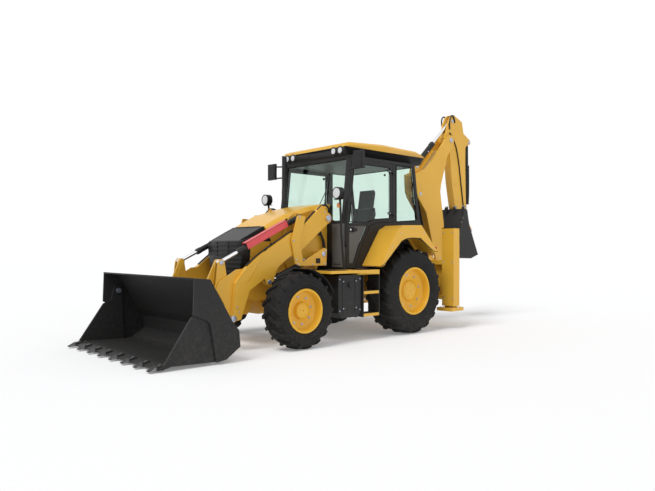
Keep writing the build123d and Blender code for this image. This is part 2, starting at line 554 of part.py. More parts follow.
def cab_frame():
    """Hollow cab: floor, lower walls arched over the wheels, posts, top rails and mirrors."""
    low = CAB_SIDE_Y - CAB_POST
    high = CAB_SIDE_Y
    tub = CAB_TUB_Y
    base = CAB_FLOOR_Z - 60
    front_floor = box(790, 1180, -high, high, base, CAB_FLOOR_Z)
    rear_floor = box(-330, 800, -tub, tub, base, CAB_FLOOR_Z)
    a_post = plate([(1192, base), (1186, 1000), (1188, 1690), (1074, CAB_TOP_Z), (1010, CAB_TOP_Z),
                    (1118, 1690), (1122, 1000), (1122, base)], low, high)
    b_post = plate([(42, CAB_SILL_Z - 20), (118, CAB_SILL_Z - 20), (118, CAB_TOP_Z), (42, CAB_TOP_Z)],
                   low, high)
    c_post = plate([(-552, 1690), (-485, 1690), (-350, CAB_TOP_Z), (-415, CAB_TOP_Z)], low, high)
    arch = [(790, base), (640, 1062), (480, 1242), (250, 1372), (0, 1412), (-250, 1372), (-490, 1242)]
    wall = plate([(935, 1010), (935, base)] + arch
                 + [(-622, 1570), (-560, 1745), (-480, 1745), (118, CAB_SILL_Z + 8), (498, CAB_SILL_Z - 18),
                    (632, CAB_SILL_Z - 68), (817, 1299)], low, high)
    arch_top = plate(band(arch[::-1], 16), tub - 12, low + 5)
    tub_wall = plate(arch + [(-330, base)], tub - 16, tub)
    rail = plate([(1074, CAB_TOP_Z - 50), (1074, CAB_TOP_Z), (-415, CAB_TOP_Z), (-415, CAB_TOP_Z - 50)],
                 low, high)
    firewall = panel([(-low - 5, base), (low + 5, base), (low + 5, 1690), (-low - 5, 1690)], 1140, 1180)
    rear_tub = plate([(-330, base), (-290, base), (-450, 1242), (-490, 1242)], -tub, tub)
    rear_low = plate([(-490, 1242), (-450, 1242), (-582, 1565), (-522, 1745), (-560, 1745), (-622, 1570)],
                     -low - 5, low + 5)
    head_front = plate([(1060, CAB_TOP_Z - 50), (1074, CAB_TOP_Z), (1014, CAB_TOP_Z), (1010, CAB_TOP_Z - 50)],
                       -low - 5, low + 5)
    head_rear = plate([(-415, CAB_TOP_Z), (-355, CAB_TOP_Z), (-352, CAB_TOP_Z - 50), (-408, CAB_TOP_Z - 50)],
                      -low - 5, low + 5)
    arm_top = rod((1060, high - 10, 2630), (1130, 930, 2640), 12)
    arm_low = rod((1085, high - 10, 2450), (1130, 930, 2450), 12)
    mirror_body = Pos(1130, 1000, 2560) * Box(40, 190, 260)
    mirrors = both(arm_top + arm_low + mirror_body)
    sides = a_post + b_post + c_post + wall + rail + arch_top + tub_wall
    for z in DOOR_HINGE_Z:
        sides += box(84, 120, CAB_SIDE_Y - 5, DOOR_HINGE[1] + 10, z, z + 28)
        sides += post(*DOOR_HINGE, DOOR_PIN_R, z + 25, z + 62)
    sides = both(sides)
    shell = front_floor + rear_floor + sides + firewall
    return shell + rear_tub + rear_low + head_front + head_rear + mirrors


def cab_roof():
    """Roof pod with an overhanging yellow top, front lamp bulges and roof lamps."""
    low = CAB_TOP_Z + SEAT
    under = plate([(1090, low), (1090, 2790), (-640, 2790), (-690, 2760), (-600, low)],
                  -ROOF_HALF + 20, ROOF_HALF - 20)
    top = plate([(1108, 2786), (1100, 2828), (1020, 2860), (300, 2897), (-500, 2876), (-680, 2828),
                 (-690, 2786)], -ROOF_HALF, ROOF_HALF)
    edge = top.edges().filter_by(lambda e: abs(abs(e.center().Y) - ROOF_HALF) < 1 and e.center().Z > 2832
                                 and abs(e.tangent_at(0.5).X) > 0.5)
    top = chamfer(edge, 30)
    lamps = both(bar_x((1086, 470, 2735), 62, 46) + bar_x((1086, 610, 2735), 62, 46))
    rear_lamps = both(bar_x((-700, 600, 2735), 55, 60))
    return under + top + lamps + rear_lamps


def bar_x(place, radius, length):
    """Round bar along the machine, starting at a point."""
    base = Plane(origin=place, z_dir=(1, 0, 0))
    return base * Cylinder(radius, length, align=(Align.CENTER, Align.CENTER, Align.MIN))


def cab_glass():
    """Fixed panes: windscreen, rear window and the two rear side windows."""
    low = CAB_SIDE_Y - CAB_POST / 2 - GLASS / 2
    front = plate([(1150, 1690.3), (1150 + GLASS, 1690.3), (1042 + GLASS, CAB_TOP_Z - 50.3),
                   (1042, CAB_TOP_Z - 50.3)], -CAB_SIDE_Y + CAB_POST + SEAT, CAB_SIDE_Y - CAB_POST - SEAT)
    rear = plate([(-525, 1745.3), (-525 + GLASS, 1745.3), (-378 + GLASS, CAB_TOP_Z - 50.3),
                  (-378, CAB_TOP_Z - 50.3)], -CAB_SIDE_Y + CAB_POST + SEAT, CAB_SIDE_Y - CAB_POST - SEAT)
    side = plate([(41.7, CAB_SILL_Z + 14), (41.7, CAB_TOP_Z - 50.3), (-356, CAB_TOP_Z - 50.3),
                  (-477, 1747)], low, low + GLASS)
    return Compound(children=[*front.solids(), *rear.solids(), *pair(side).solids()])


DOOR_OUTLINE = [(1116, 1016), (1112, 1690), (1010, 2604), (124, 2604), (124, 1716), (500, 1690), (640, 1640),
                (826, 1304), (944, 1016)]
DOOR_GLASS = [(1066, 1080), (1064, 1686), (968, 2554), (172, 2554), (172, 1762), (530, 1736), (672, 1684),
              (870, 1330), (976, 1080)]
DOOR_GLASS_GAP = [(-1, 1), (-1, 0), (-1, -1), (1, -1), (1, 1), (1, 1), (1, 1), (1, 1), (1, 1)]


def door():
    """Left door frame with its window cut out, hinged at the middle post."""
    frame = plate(DOOR_OUTLINE, CAB_SIDE_Y - 35, CAB_SIDE_Y)
    opening = plate(DOOR_GLASS, CAB_SIDE_Y - 36, CAB_SIDE_Y + 1)
    handle = box(930, 1010, CAB_SIDE_Y, CAB_SIDE_Y + 24, 1560, 1590)
    lock = box(950, 1080, CAB_SIDE_Y - 35, CAB_SIDE_Y, 1540, 1610)
    leaf = frame - opening + lock + handle
    for z in DOOR_HINGE_Z:
        leaf += post(*DOOR_HINGE, DOOR_PIN_R + 5, z + 28 + SEAT, z + 58)
        leaf += box(DOOR_HINGE[0], 150, DOOR_HINGE[1] - 9, DOOR_HINGE[1] + 5, z + 28 + SEAT, z + 58)
        leaf += box(128, 150, CAB_SIDE_Y - 5, DOOR_HINGE[1] + 5, z + 28 + SEAT, z + 58)
        leaf -= post(*DOOR_HINGE, DOOR_PIN_R + PIN_PLAY, z + 20, z + 70)
    return leaf


def door_pane():
    """Left door glass inside the door frame."""
    inset = [(x + dx, z + dz) for (x, z), (dx, dz) in zip(DOOR_GLASS, DOOR_GLASS_GAP)]
    pane = plate(inset, CAB_SIDE_Y - 22, CAB_SIDE_Y - 22 + GLASS)
    return pane - box(945, 1070, CAB_SIDE_Y - 40, CAB_SIDE_Y + 5, 1535, 1615)


def driver_seat():
    """Operator's chair on its pedestal."""
    base = box(60, 420, -180, 180, CAB_FLOOR_Z + SEAT, 1250)
    cushion = plate([(20, 1250), (20, 1330), (100, 1380), (500, 1400), (530, 1340), (500, 1250)], -250, 250)
    back = plate([(30, 1330), (-90, 1900), (-60, 2010), (20, 2010), (110, 1400), (130, 1340)], -230, 230)
    rests = both(box(60, 380, 255, 320, 1520, 1570) + box(70, 130, 225, 320, 1380, 1530))
    return base + cushion + back + rests


def controls():
    """Steering column and wheel with the side levers and console."""
    column = rod((1020, 0, CAB_FLOOR_Z + 30), (852, 0, 1632), 45)
    foot = box(960, 1080, -90, 90, CAB_FLOOR_Z + SEAT, CAB_FLOOR_Z + 60)
    wheel_plane = Plane(origin=(850, 0, 1640), z_dir=(-0.26, 0, 0.966))
    wheel = wheel_plane * Torus(190, 17)
    spokes = wheel_plane * (Box(380, 30, 14) + Cylinder(50, 40))
    console = box(300, 760, -575, -420, CAB_FLOOR_Z + SEAT, 1480)
    levers = rod((620, -520, 1470), (640, -520, 1680), 14) + rod((500, -520, 1470), (505, -520, 1650), 14)
    wheel_part = column + foot + wheel + spokes
    return Compound(children=[*wheel_part.solids(), *(console + levers).solids()])


def rear_fenders():
    """Rear fenders: arched top sheet with an outer skirt, standing off the cab side."""
    arch = [(740, 1050), (350, 1415), (200, 1460), (-100, 1465), (-460, 1220)]
    outer = [(800, 1050), (430, 1584), (290, 1648), (-120, 1660), (-510, 1260)]
    sheet = plate(band(outer, 24), CAB_SIDE_Y + SEAT, 1120)
    skirt = plate(outer + arch[::-1], 1096, 1120)
    inner = plate(outer + [(-480, 1200), (-110, 1560), (280, 1560), (410, 1490), (740, 1050)],
                  CAB_SIDE_Y + SEAT, CAB_SIDE_Y + 24)
    return pair(sheet + skirt + inner)


def side_tanks():
    """Fuel tank on the left and oil tank with battery box on the right."""
    body = plate([(1140, 420), (1200, 350), (1520, 350), (1580, 420), (1580, 910), (1560, 934), (1140, 934)],
                 TOWER_INNER_Y[1] + SEAT, 1050)
    return pair(body)


def steps():
    """Platform ledge with two hanging steps beside each door."""
    ledge = box(1196, 1750, TOWER_INNER_Y[1] + SEAT, 1080, 960, 1000)
    ledge += box(790, 1200, CAB_SIDE_Y + SEAT, 1080, 935, 1000)
    rails = box(784, 800, 860, 1076, 340, 940) + box(1110, 1126, 860, 1076, 340, 940)
    treads = box(790, 1120, 870, 1076, 660, 700) + box(790, 1120, 870, 1076, 345, 385)
    return pair(ledge + rails + treads)


def exhaust_stack():
    """Upright exhaust pipe with a slanted outlet."""
    pipe = post(1272, -EXHAUST_Y, 38, 1000 + SEAT, 2780)
    bore = post(1272, -EXHAUST_Y, 32, 2600, 2790)
    cut = plate([(1200, 2720), (1200, 2800), (1400, 2800), (1400, 2785)], -EXHAUST_Y - 60, -EXHAUST_Y + 60)
    return pipe - bore - cut


def work_lamps():
    """Two round lamps on stalks ahead of the cab."""
    foot = post(1230, CAB_SIDE_Y + 60, 30, 1000 + SEAT, 1018)
    stalk = foot + rod((1230, CAB_SIDE_Y + 60, 1012), (1300, 820, 1500), 16)
    stalk += rod((1300, 820, 1490), (1340, 830, 2050), 16)
    head = bar_x((1320, 830, 2080), 85, 90)
    return pair(stalk + head)


def shift_frame():
    """Rear sliding frame with the two stabilizer housings."""
    front = FRAME_REAR_X - SEAT
    back = SHIFT_FACE_X
    sheet = front - 100
    panel_sheet = box(sheet - 26, sheet, -950, 950, 470, 1110)
    rails = box(back, front, -950, 950, 1040, 1110) + box(back, front, -950, 950, 470, 550)
    pads = both(box(sheet - 6, front, 200, 500, 545, 1045))
    low, high = STABILIZER_Y
    housing = box(back, front, low - 5, high, 370, 1630)
    hollow = box(back + HOUSING_WALL, front - HOUSING_WALL, low + 22, high - 24, 360, 1640)
    flange = box(back - 60, back + 5, low + 60, high - 40, 770, 1380)
    return panel_sheet + rails + pads + both(housing - hollow + flange)


def stabilizer():
    """Left stabilizer leg with its foot pad."""
    low, high = STABILIZER_Y
    back = SHIFT_FACE_X + HOUSING_WALL
    front = FRAME_REAR_X - SEAT - HOUSING_WALL
    leg = box(back + 5, front - 5, low + 27, high - 29, 330, 1560)
    seat = box(back + SEAT, front - SEAT, low + 60, high - 60, 1200, 1300)
    pad = box(SHIFT_FACE_X - 115, FRAME_REAR_X + 53.7, low - 70, high, 290, 345)
    return leg + seat + pad


def carriage():
    """Side-shift carriage with upper and lower swing lugs."""
    face = SHIFT_FACE_X - SEAT
    body = box(face - 45, face, HOE_Y - 270, HOE_Y + 270, 480, 1100)
    lugs = []
    for low, high in (SWING_LUG_TOP, SWING_LUG_LOW):
        lug = slab([(face - 40, HOE_Y - 150), (face - 40, HOE_Y + 150), (SWING_X + 60, HOE_Y + 88),
                    (SWING_X, HOE_Y + 88), (SWING_X, HOE_Y - 88), (SWING_X + 60, HOE_Y - 88)], low, high)
        lugs.append(lug + post(SWING_X, HOE_Y, 88, low, high))
    ribs = twin([(face - 40, 625), (face - 180, 615), (face - 180, 560), (face - 40, 480)], (110, 140))
    return body + lugs[0] + lugs[1] + ribs


def kingpost():
    """Swing post between the carriage lugs, with cheeks for the boom foot and boom cylinder."""
    low, high = KINGPOST_CHEEK
    barrel_part = post(SWING_X, HOE_Y, 84, SWING_LUG_LOW[1] + SEAT, SWING_LUG_TOP[0] - SEAT)
    slot_low, slot_high = SWING_LUG_TOP[0] - 20, SWING_LUG_TOP[1] + 17
    outline = [(-1335, 640), (-1335, slot_low), (-1525, slot_low), (-1525, slot_high), (-1325, slot_high),
               (-1318, 1130), (-1350, 1180), (-1420, 1180), (-1640, 1060), (-1705, 880), (-1705, 780),
               (-1660, 712), (-1580, 712), (-1525, 640)]
    cheek = plate(outline, HOE_Y + low, HOE_Y + high) + plate(outline, HOE_Y - high, HOE_Y - low)
    lugs = bar(BOOM_CYL.base, 44, HOE_Y + BOOM_CYL.eye_w / 2 + SEAT, HOE_Y + low + 5)
    lugs += bar(BOOM_CYL.base, 44, HOE_Y - low - 5, HOE_Y - BOOM_CYL.eye_w / 2 - SEAT)
    foot = bar(BOOM_FOOT, 36, HOE_Y - low - 5, HOE_Y + low + 5)
    web = box(-1540, -1440, HOE_Y - low - 5, HOE_Y + low + 5, 660, SWING_LUG_TOP[0] - 38)
    return barrel_part + cheek + lugs + foot + web


def twin(points, spread):
    """Two like plates either side of the digging arm's plane."""
    near, far = spread
    return plate(points, HOE_Y + near, HOE_Y + far) + plate(points, HOE_Y - far, HOE_Y - near)


def boom():
    """Boom of two cheeks with a closed box between, its two foot plates, and lugs for its cylinders."""
    seam = BOOM_FOOT_TOP
    foot = [(-1545, 770), (-1530, 800), (-1530, seam), (-1729, seam), (-1712, 800), (-1680, 735),
            (-1620, 712), (-1570, 732)]
    outline = [(-1530, seam + SEAT), (-1450, 1280), (-1240, 1940), (-1020, 2190), (-965, 2292), (-945, 2590),
               (-1220, 2700), (-1340, 2780), (-1800, 3290), (-1890, 3365), (-1966, 3382), (-2040, 3350),
               (-2058, 3270), (-2020, 3180), (-1860, 2990), (-1670, 2470), (-1640, 2330), (-1745, 1740),
               (-1745, 1300), (-1729, seam + SEAT)]
    core = [(-1470, 1300), (-1300, 1940), (-1240, 2330), (-1080, 2400), (-985, 2570), (-1225, 2670),
            (-1360, 2745), (-1690, 3090), (-1770, 3040), (-1840, 2960), (-1650, 2480), (-1622, 2330),
            (-1725, 1740), (-1725, 1300)]
    body = twin(outline, BOOM_CHEEK) + plate(core, HOE_Y - BOOM_CHEEK[0] - 5, HOE_Y + BOOM_CHEEK[0] + 5)
    rod_seat = bar(BOOM_CYL.eye, 50, HOE_Y + BOOM_CYL.eye_w / 2 + SEAT, HOE_Y + BOOM_CHEEK[0] + 5)
    rod_seat += bar(BOOM_CYL.eye, 50, HOE_Y - BOOM_CHEEK[0] - 5, HOE_Y - BOOM_CYL.eye_w / 2 - SEAT)
    gap = STICK_CYL.eye_w / 2 + SEAT
    lug = twin([(-990, 2560), (-1020, 2745), (-1070, 2778), (-1114, 2748), (-1190, 2630)], (gap, gap + 26))
    feet = twin(foot, BOOM_CHEEK)
    return Compound(children=[*(body + rod_seat + lug).solids(), *feet.solids()])


def stick():
    """Digging stick with its upper horn, pivot bosses and cylinder lugs."""
    outline = [(-1930, 3245), (-1880, 3330), (-1960, 3600), (-2030, 3725), (-2100, 3782), (-2143, 3782),
               (-2392, 3686), (-2505, 3223), (-2500, 2902), (-2529, 1635), (-2574, 1500), (-2570, 1420),
               (-2490, 1404), (-2400, 1500), (-2170, 2070), (-2070, 2530), (-1990, 3200)]
    body = plate(outline, HOE_Y - STICK_HALF, HOE_Y + STICK_HALF)
    pivot = bar(STICK_PIVOT, 82, HOE_Y - BOOM_CHEEK[0] + SEAT, HOE_Y + BOOM_CHEEK[0] - SEAT)
    foot = bar(HOE_PIN, 56, HOE_Y - HOE_EAR_Y[0] + SEAT, HOE_Y + HOE_EAR_Y[0] - SEAT)
    lever_seat = bar(HOE_LEVER_PIN, 40, HOE_Y - STICK_HALF - 5, HOE_Y + STICK_HALF + 5)
    lug = twin([(-2440, 3480), (-2655, 3372), (-2668, 3320), (-2640, 3290), (-2572, 3287), (-2480, 3190)],
               (HOE_CYL.eye_w / 2 + SEAT, STICK_HALF))
    slot_r = STICK_CYL.eye_r + 14
    slot = plate([(-1850, 3500), (-1990, 3330), (-2150, 3560), (-2160, 3700), (-2080, 3800), (-1850, 3800)],
                 HOE_Y - STICK_CYL.eye_w / 2 - SEAT, HOE_Y + STICK_CYL.eye_w / 2 + SEAT)
    return body + pivot + foot + lever_seat + lug - slot


def hoe_lever():
    """Pair of lever plates beside the stick."""
    inner = STICK_HALF + 5 + SEAT
    left = strut(HOE_LEVER_PIN, HOE_LEVER_END, 76, HOE_Y + inner, HOE_Y + inner + 20)
    right = strut(HOE_LEVER_PIN, HOE_LEVER_END, 76, HOE_Y - inner - 20, HOE_Y - inner)
    return Compound(children=[*left.solids(), *right.solids()])


def hoe_link():
    """Forked link from the lever's end to the bucket ears."""
    gap = HOE_CYL.eye_w / 2 + SEAT
    outer = STICK_HALF + 5
    fork = twin(strut_outline(HOE_LEVER_END, HOE_EAR, 66), (gap, outer - 12))
    top = bar(HOE_LEVER_END, 36, HOE_Y + gap, HOE_Y + outer)
    top += bar(HOE_LEVER_END, 36, HOE_Y - outer, HOE_Y - gap)
    low = bar(HOE_EAR, 34, HOE_Y - HOE_EAR_Y[0] + SEAT, HOE_Y + HOE_EAR_Y[0] - SEAT)
    return fork + top + low


def strut_outline(start, end, width):
    """Corners of a flat bar between two (x, z) places."""
    way = unit(start, end)
    side = (-way[1] * width / 2, way[0] * width / 2)
    return [(start[0] + side[0], start[1] + side[1]), (end[0] + side[0], end[1] + side[1]),
            (end[0] - side[0], end[1] - side[1]), (start[0] - side[0], start[1] - side[1])]


def hoe_bucket():
    """Digging bucket: curved shell, side plates, ears and teeth."""
    shell_line = [(-2150, 2035), (-2082, 1900), (-2015, 1740), (-1935, 1500), (-1940, 1330), (-2000, 1205),
                  (-2130, 1130), (-2330, 1120), (-2460, 1160)]
    shell = plate(band(shell_line[::-1], 16), HOE_Y - HOE_HALF + 5, HOE_Y + HOE_HALF - 5)
    side = twin(shell_line + [(-2560, 1190), (-2440, 1420), (-2280, 1740), (-2212, 2010)],
                (HOE_HALF - HOE_SIDE, HOE_HALF))
    wall = plate([(-2460, 1160), (-2560, 1190), (-2380, 1330), (-2364, 1322), (-2520, 1200), (-2445, 1174)],
                 HOE_Y - HOE_HALF + 5, HOE_Y + HOE_HALF - 5)
    ears = twin([(-2330, 1150), (-2470, 1152), (-2620, 1232), (-2684, 1250), (-2690, 1310), (-2600, 1460),
                 (-2565, 1512), (-2505, 1526), (-2455, 1490), (-2440, 1400)], HOE_EAR_Y)
    teeth = []
    for offset in HOE_TOOTH_Y:
        y = HOE_Y + offset
        tooth = plate([(-2090, 1930), (-2104, 2056), (-2132, 2090), (-2142, 2090), (-2158, 2038),
                       (-2120, 1930)], y - 25, y + 25)
        teeth.append(tooth)
    whole = shell + side + wall + ears
    for tooth in teeth:
        whole += tooth
    return whole


def safety_strut():
    """Stowed safety strut lying on the left tilt cylinder."""
    low = along(TILT.base, TILT.eye, 250)
    high = along(TILT.base, TILT.eye, 1000)
    lift = TILT.barrel_r + 14 + SEAT
    way = unit(TILT.base, TILT.eye)
    up = (-way[1] * lift, way[0] * lift)
    return rod((low[0] + up[0], TILT.y, low[1] + up[1]), (high[0] + up[0], TILT.y, high[1] + up[1]), 14)


def pieces():
    """All named pieces in the modelling frame."""
    left_front_tyre = tyre(FRONT_WHEEL)
    left_rear_tyre = tyre(REAR_WHEEL)
    left_front_rim = rim(FRONT_WHEEL)
    left_rear_rim = rim(REAR_WHEEL)
    left_knuckle = knuckle()
    left_door = door()
    left_pane = door_pane()
    left_leg = stabilizer()
    return {
        "main_frame": main_frame(),
        "engine_block": engine_block(),
        "gearbox": gearbox(),
        "rear_axle": rear_axle(),
        "front_axle": front_axle(),
        "grille": grille(),
        "loader_towers": loader_towers(),
        "cab_frame": cab_frame(),
        "cab_roof": cab_roof(),
        "cab_glass": cab_glass(),
        "driver_seat": driver_seat(),
        "controls": controls(),
        "rear_fenders": rear_fenders(),
        "side_tanks": side_tanks(),
        "steps": steps(),
        "exhaust_stack": exhaust_stack(),
        "work_lamps": work_lamps(),
        "shift_frame": shift_frame(),
        "hood": hood(),
        "left_door": left_door,
        "right_door": other(left_door),
        "left_door_glass": left_pane,
        "right_door_glass": other(left_pane),
        "left_knuckle": left_knuckle,
        "right_knuckle": other(left_knuckle),
        "front_left_tyre": left_front_tyre,
        "front_right_tyre": other(left_front_tyre),
        "rear_left_tyre": left_rear_tyre,
        "rear_right_tyre": other(left_rear_tyre),
        "front_left_rim": left_front_rim,
        "front_right_rim": other(left_front_rim),
        "rear_left_rim": left_rear_rim,
        "rear_right_rim": other(left_rear_rim),
        "loader_arms": loader_arms(),
        "lift_barrels": pair(barrel(LIFT, LIFT.y)),
        "lift_rods": pair(piston_rod(LIFT, LIFT.y)),
        "tilt_barrels": pair(barrel(TILT, TILT.y)),
        "tilt_rods": pair(piston_rod(TILT, TILT.y)),
        "safety_strut": safety_strut(),
        "tilt_levers": pair(tilt_lever()),
        "tilt_links": pair(tilt_link()),
        "loader_bucket": loader_bucket(),
        "bucket_jaw": bucket_jaw(),
        "carriage": carriage(),
        "kingpost": kingpost(),
        "boom": boom(),
        "boom_barrel": barrel(BOOM_CYL, HOE_Y),
        "boom_rod": piston_rod(BOOM_CYL, HOE_Y),
        "stick": stick(),
        "stick_barrel": barrel(STICK_CYL, HOE_Y),
        "stick_rod": piston_rod(STICK_CYL, HOE_Y),
        "hoe_bucket": hoe_bucket(),
        "hoe_barrel": barrel(HOE_CYL, HOE_Y),
        "hoe_rod": piston_rod(HOE_CYL, HOE_Y),
        "hoe_lever": hoe_lever(),
        "hoe_link": hoe_link(),
        "left_stabilizer": left_leg,
        "right_stabilizer": other(left_leg),
    }


def main():
    """Write one STEP file for each piece."""
    os.makedirs("parts", exist_ok=True)
    for name, shape in pieces().items():
        solids = [Pos(-CENTRE_X, 0, 0) * solid for solid in shape.solids()]
        placed = solids[0] if len(solids) == 1 else Compound(children=solids)
        placed.label = name
        export_step(placed, f"parts/{name}.step")


if __name__ == "__main__":
    main()
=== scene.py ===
"""Backhoe loader: finishes and small parts over its construction model. Lengths are metres."""
from math import cos, hypot, pi, radians, sin

import bmesh
import bpy
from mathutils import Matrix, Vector


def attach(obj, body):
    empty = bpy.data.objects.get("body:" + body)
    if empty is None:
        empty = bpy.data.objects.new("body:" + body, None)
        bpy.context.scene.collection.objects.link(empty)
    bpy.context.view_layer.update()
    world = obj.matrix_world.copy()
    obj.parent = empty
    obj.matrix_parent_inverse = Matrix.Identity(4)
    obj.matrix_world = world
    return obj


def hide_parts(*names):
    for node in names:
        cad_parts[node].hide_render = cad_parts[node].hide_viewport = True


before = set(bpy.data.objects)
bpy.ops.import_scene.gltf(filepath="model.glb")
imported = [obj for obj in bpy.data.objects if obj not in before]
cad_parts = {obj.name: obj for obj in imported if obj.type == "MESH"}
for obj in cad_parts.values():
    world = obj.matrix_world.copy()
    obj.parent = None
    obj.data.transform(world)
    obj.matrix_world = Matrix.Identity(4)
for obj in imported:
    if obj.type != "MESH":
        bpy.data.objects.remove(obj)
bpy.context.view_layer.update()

# Drawings of the machine measure x forward from the rear axle in millimetres; here x is from mid-length.
MIDDLE = 0.843


def at(x, y, z):
    """A place given in the drawing's millimetres, in the scene's metres."""
    return Vector((x / 1000 - MIDDLE, y / 1000, z / 1000))


def camera():
    data = bpy.data.cameras.new("view")
    data.sensor_fit = "HORIZONTAL"
    data.sensor_width = 36.0
    data.lens = 33.706
    heading, tip_up = radians(227.33), 0.0056
    eye = bpy.data.objects.new("view", data)
    eye.location = at(7317.4, 7056.9, 1295.1)
    eye.rotation_euler = (pi / 2 + tip_up, 0, heading - pi / 2)
    bpy.context.collection.objects.link(eye)
    bpy.context.scene.camera = eye


def add(tree, kind, inputs=(), **settings):
    """One node of a tree with its settings, and its inputs as values or as sockets to link."""
    node = tree.nodes.new(kind)
    for key, value in settings.items():
        setattr(node, key, value)
    for key, value in dict(inputs).items():
        if isinstance(value, bpy.types.NodeSocket):
            tree.links.new(value, node.inputs[key])
        else:
            node.inputs[key].default_value = value
    return node


def floor_and_light():
    half = 60
    mesh = bpy.data.meshes.new("studio_floor")
    mesh.from_pydata([(-half, -half, 0), (half, -half, 0), (half, half, 0), (-half, half, 0)], [], [(0, 1, 2, 3)])
    floor = bpy.data.objects.new("studio_floor", mesh)
    bpy.context.collection.objects.link(floor)
    paper = bpy.data.materials.new("studio_floor")
    paper.use_nodes = True
    tree = paper.node_tree
    tree.nodes.clear()
    grain = add(tree, "ShaderNodeTexNoise", {"Scale": 3.0})
    tone = add(tree, "ShaderNodeMapRange", {0: grain.outputs["Fac"], 3: 0.80, 4: 0.83})
    body = add(tree, "ShaderNodeBsdfDiffuse", {"Color": tone.outputs[0]})
    white = add(tree, "ShaderNodeEmission", {"Color": (1, 1, 1, 1), "Strength": 0.18})
    both = add(tree, "ShaderNodeAddShader", {0: body.outputs[0], 1: white.outputs[0]})
    add(tree, "ShaderNodeOutputMaterial", {"Surface": both.outputs[0]})
    mesh.materials.append(paper)

    world = bpy.data.worlds.new("studio")
    world.use_nodes = True
    bpy.context.scene.world = world
    tree = world.node_tree
    tree.nodes.clear()
    path = add(tree, "ShaderNodeLightPath")
    seen = add(tree, "ShaderNodeMath", {0: path.outputs["Is Camera Ray"], 1: path.outputs["Is Glossy Ray"]},
               operation="MAXIMUM")
    seen = add(tree, "ShaderNodeMath", {0: seen.outputs[0], 1: path.outputs["Is Transmission Ray"]},
               operation="MAXIMUM")
    soft = add(tree, "ShaderNodeBackground", {"Color": (0.97, 0.98, 1.0, 1), "Strength": 0.52})
    white = add(tree, "ShaderNodeBackground", {"Color": (1, 1, 1, 1), "Strength": 1.0})
    mix = add(tree, "ShaderNodeMixShader", {0: seen.outputs[0], 1: soft.outputs[0], 2: white.outputs[0]})
    add(tree, "ShaderNodeOutputWorld", {"Surface": mix.outputs[0]})

    for name, strength, angle, turn in (("key", 1.7, 24, (38, 0, 98)), ("fill", 0.5, 60, (62, 0, 175))):
        data = bpy.data.lights.new(name, "SUN")
        data.energy = strength
        data.angle = radians(angle)
        lamp = bpy.data.objects.new(name, data)
        lamp.rotation_euler = [radians(a) for a in turn]
        bpy.context.collection.objects.link(lamp)
    bpy.context.scene.view_settings.view_transform = "Standard"


camera()
floor_and_light()


def mask_group():
    """Shared masks of a machine's skin: edges (rubbed wear on most finishes, a painted highlight on the tyre
    rubber), soft mottle, fine grain and road dust low down.
    """
    tree = bpy.data.node_groups.new("skin_masks", "ShaderNodeTree")
    tree.interface.new_socket("Edge Radius", in_out="INPUT", socket_type="NodeSocketFloat").default_value = 0.006
    tree.interface.new_socket("Grain Scale", in_out="INPUT", socket_type="NodeSocketFloat").default_value = 260.0
    for name in ("Edge", "Mottle", "Grain", "Dust"):
        tree.interface.new_socket(name, in_out="OUTPUT", socket_type="NodeSocketFloat")
    tree.interface.new_socket("Normal", in_out="OUTPUT", socket_type="NodeSocketVector")
    given = add(tree, "NodeGroupInput")
    place = add(tree, "ShaderNodeTexCoord")
    here = place.outputs["Object"]
    round_off = add(tree, "ShaderNodeBevel", {"Radius": given.outputs["Edge Radius"]}, samples=4)
    flat = add(tree, "ShaderNodeNewGeometry")
    lean = add(tree, "ShaderNodeVectorMath", {0: round_off.outputs[0], 1: flat.outputs["Normal"]},
               operation="DOT_PRODUCT")
    # Edge mask from the rounded normal: the finishes colour it as rubbed wear, and the tyre rubber colours it as a
    # painted highlight.
    edge_ramp = add(tree, "ShaderNodeMapRange", {0: lean.outputs["Value"], 1: 0.97, 2: 0.72})
    patch = add(tree, "ShaderNodeTexNoise", {"Vector": here, "Scale": 9.0, "Detail": 4.0})
    patchy = add(tree, "ShaderNodeMapRange", {0: patch.outputs["Fac"], 1: 0.45, 2: 0.66})
    edge = add(tree, "ShaderNodeMath", {0: edge_ramp.outputs[0], 1: patchy.outputs[0]}, operation="MULTIPLY")
    mottle = add(tree, "ShaderNodeTexNoise", {"Vector": here, "Scale": 2.3, "Detail": 3.0})
    grain = add(tree, "ShaderNodeTexNoise", {"Vector": here, "Scale": given.outputs["Grain Scale"],
                                             "Detail": 2.0})
    parts = add(tree, "ShaderNodeSeparateXYZ", {0: here})
    low = add(tree, "ShaderNodeMapRange", {0: parts.outputs["Z"], 1: 1.0, 2: 0.05})
    speck = add(tree, "ShaderNodeTexNoise", {"Vector": here, "Scale": 26.0, "Detail": 6.0, "Roughness": 0.65})
    speckle = add(tree, "ShaderNodeMapRange", {0: speck.outputs["Fac"], 1: 0.42, 2: 0.7})
    dust = add(tree, "ShaderNodeMath", {0: low.outputs[0], 1: speckle.outputs[0]}, operation="MULTIPLY")
    add(tree, "NodeGroupOutput", {"Edge": edge.outputs[0], "Mottle": mottle.outputs["Fac"],
                                  "Grain": grain.outputs["Fac"], "Dust": dust.outputs[0],
                                  "Normal": round_off.outputs[0]})
    return tree


SKIN = mask_group()


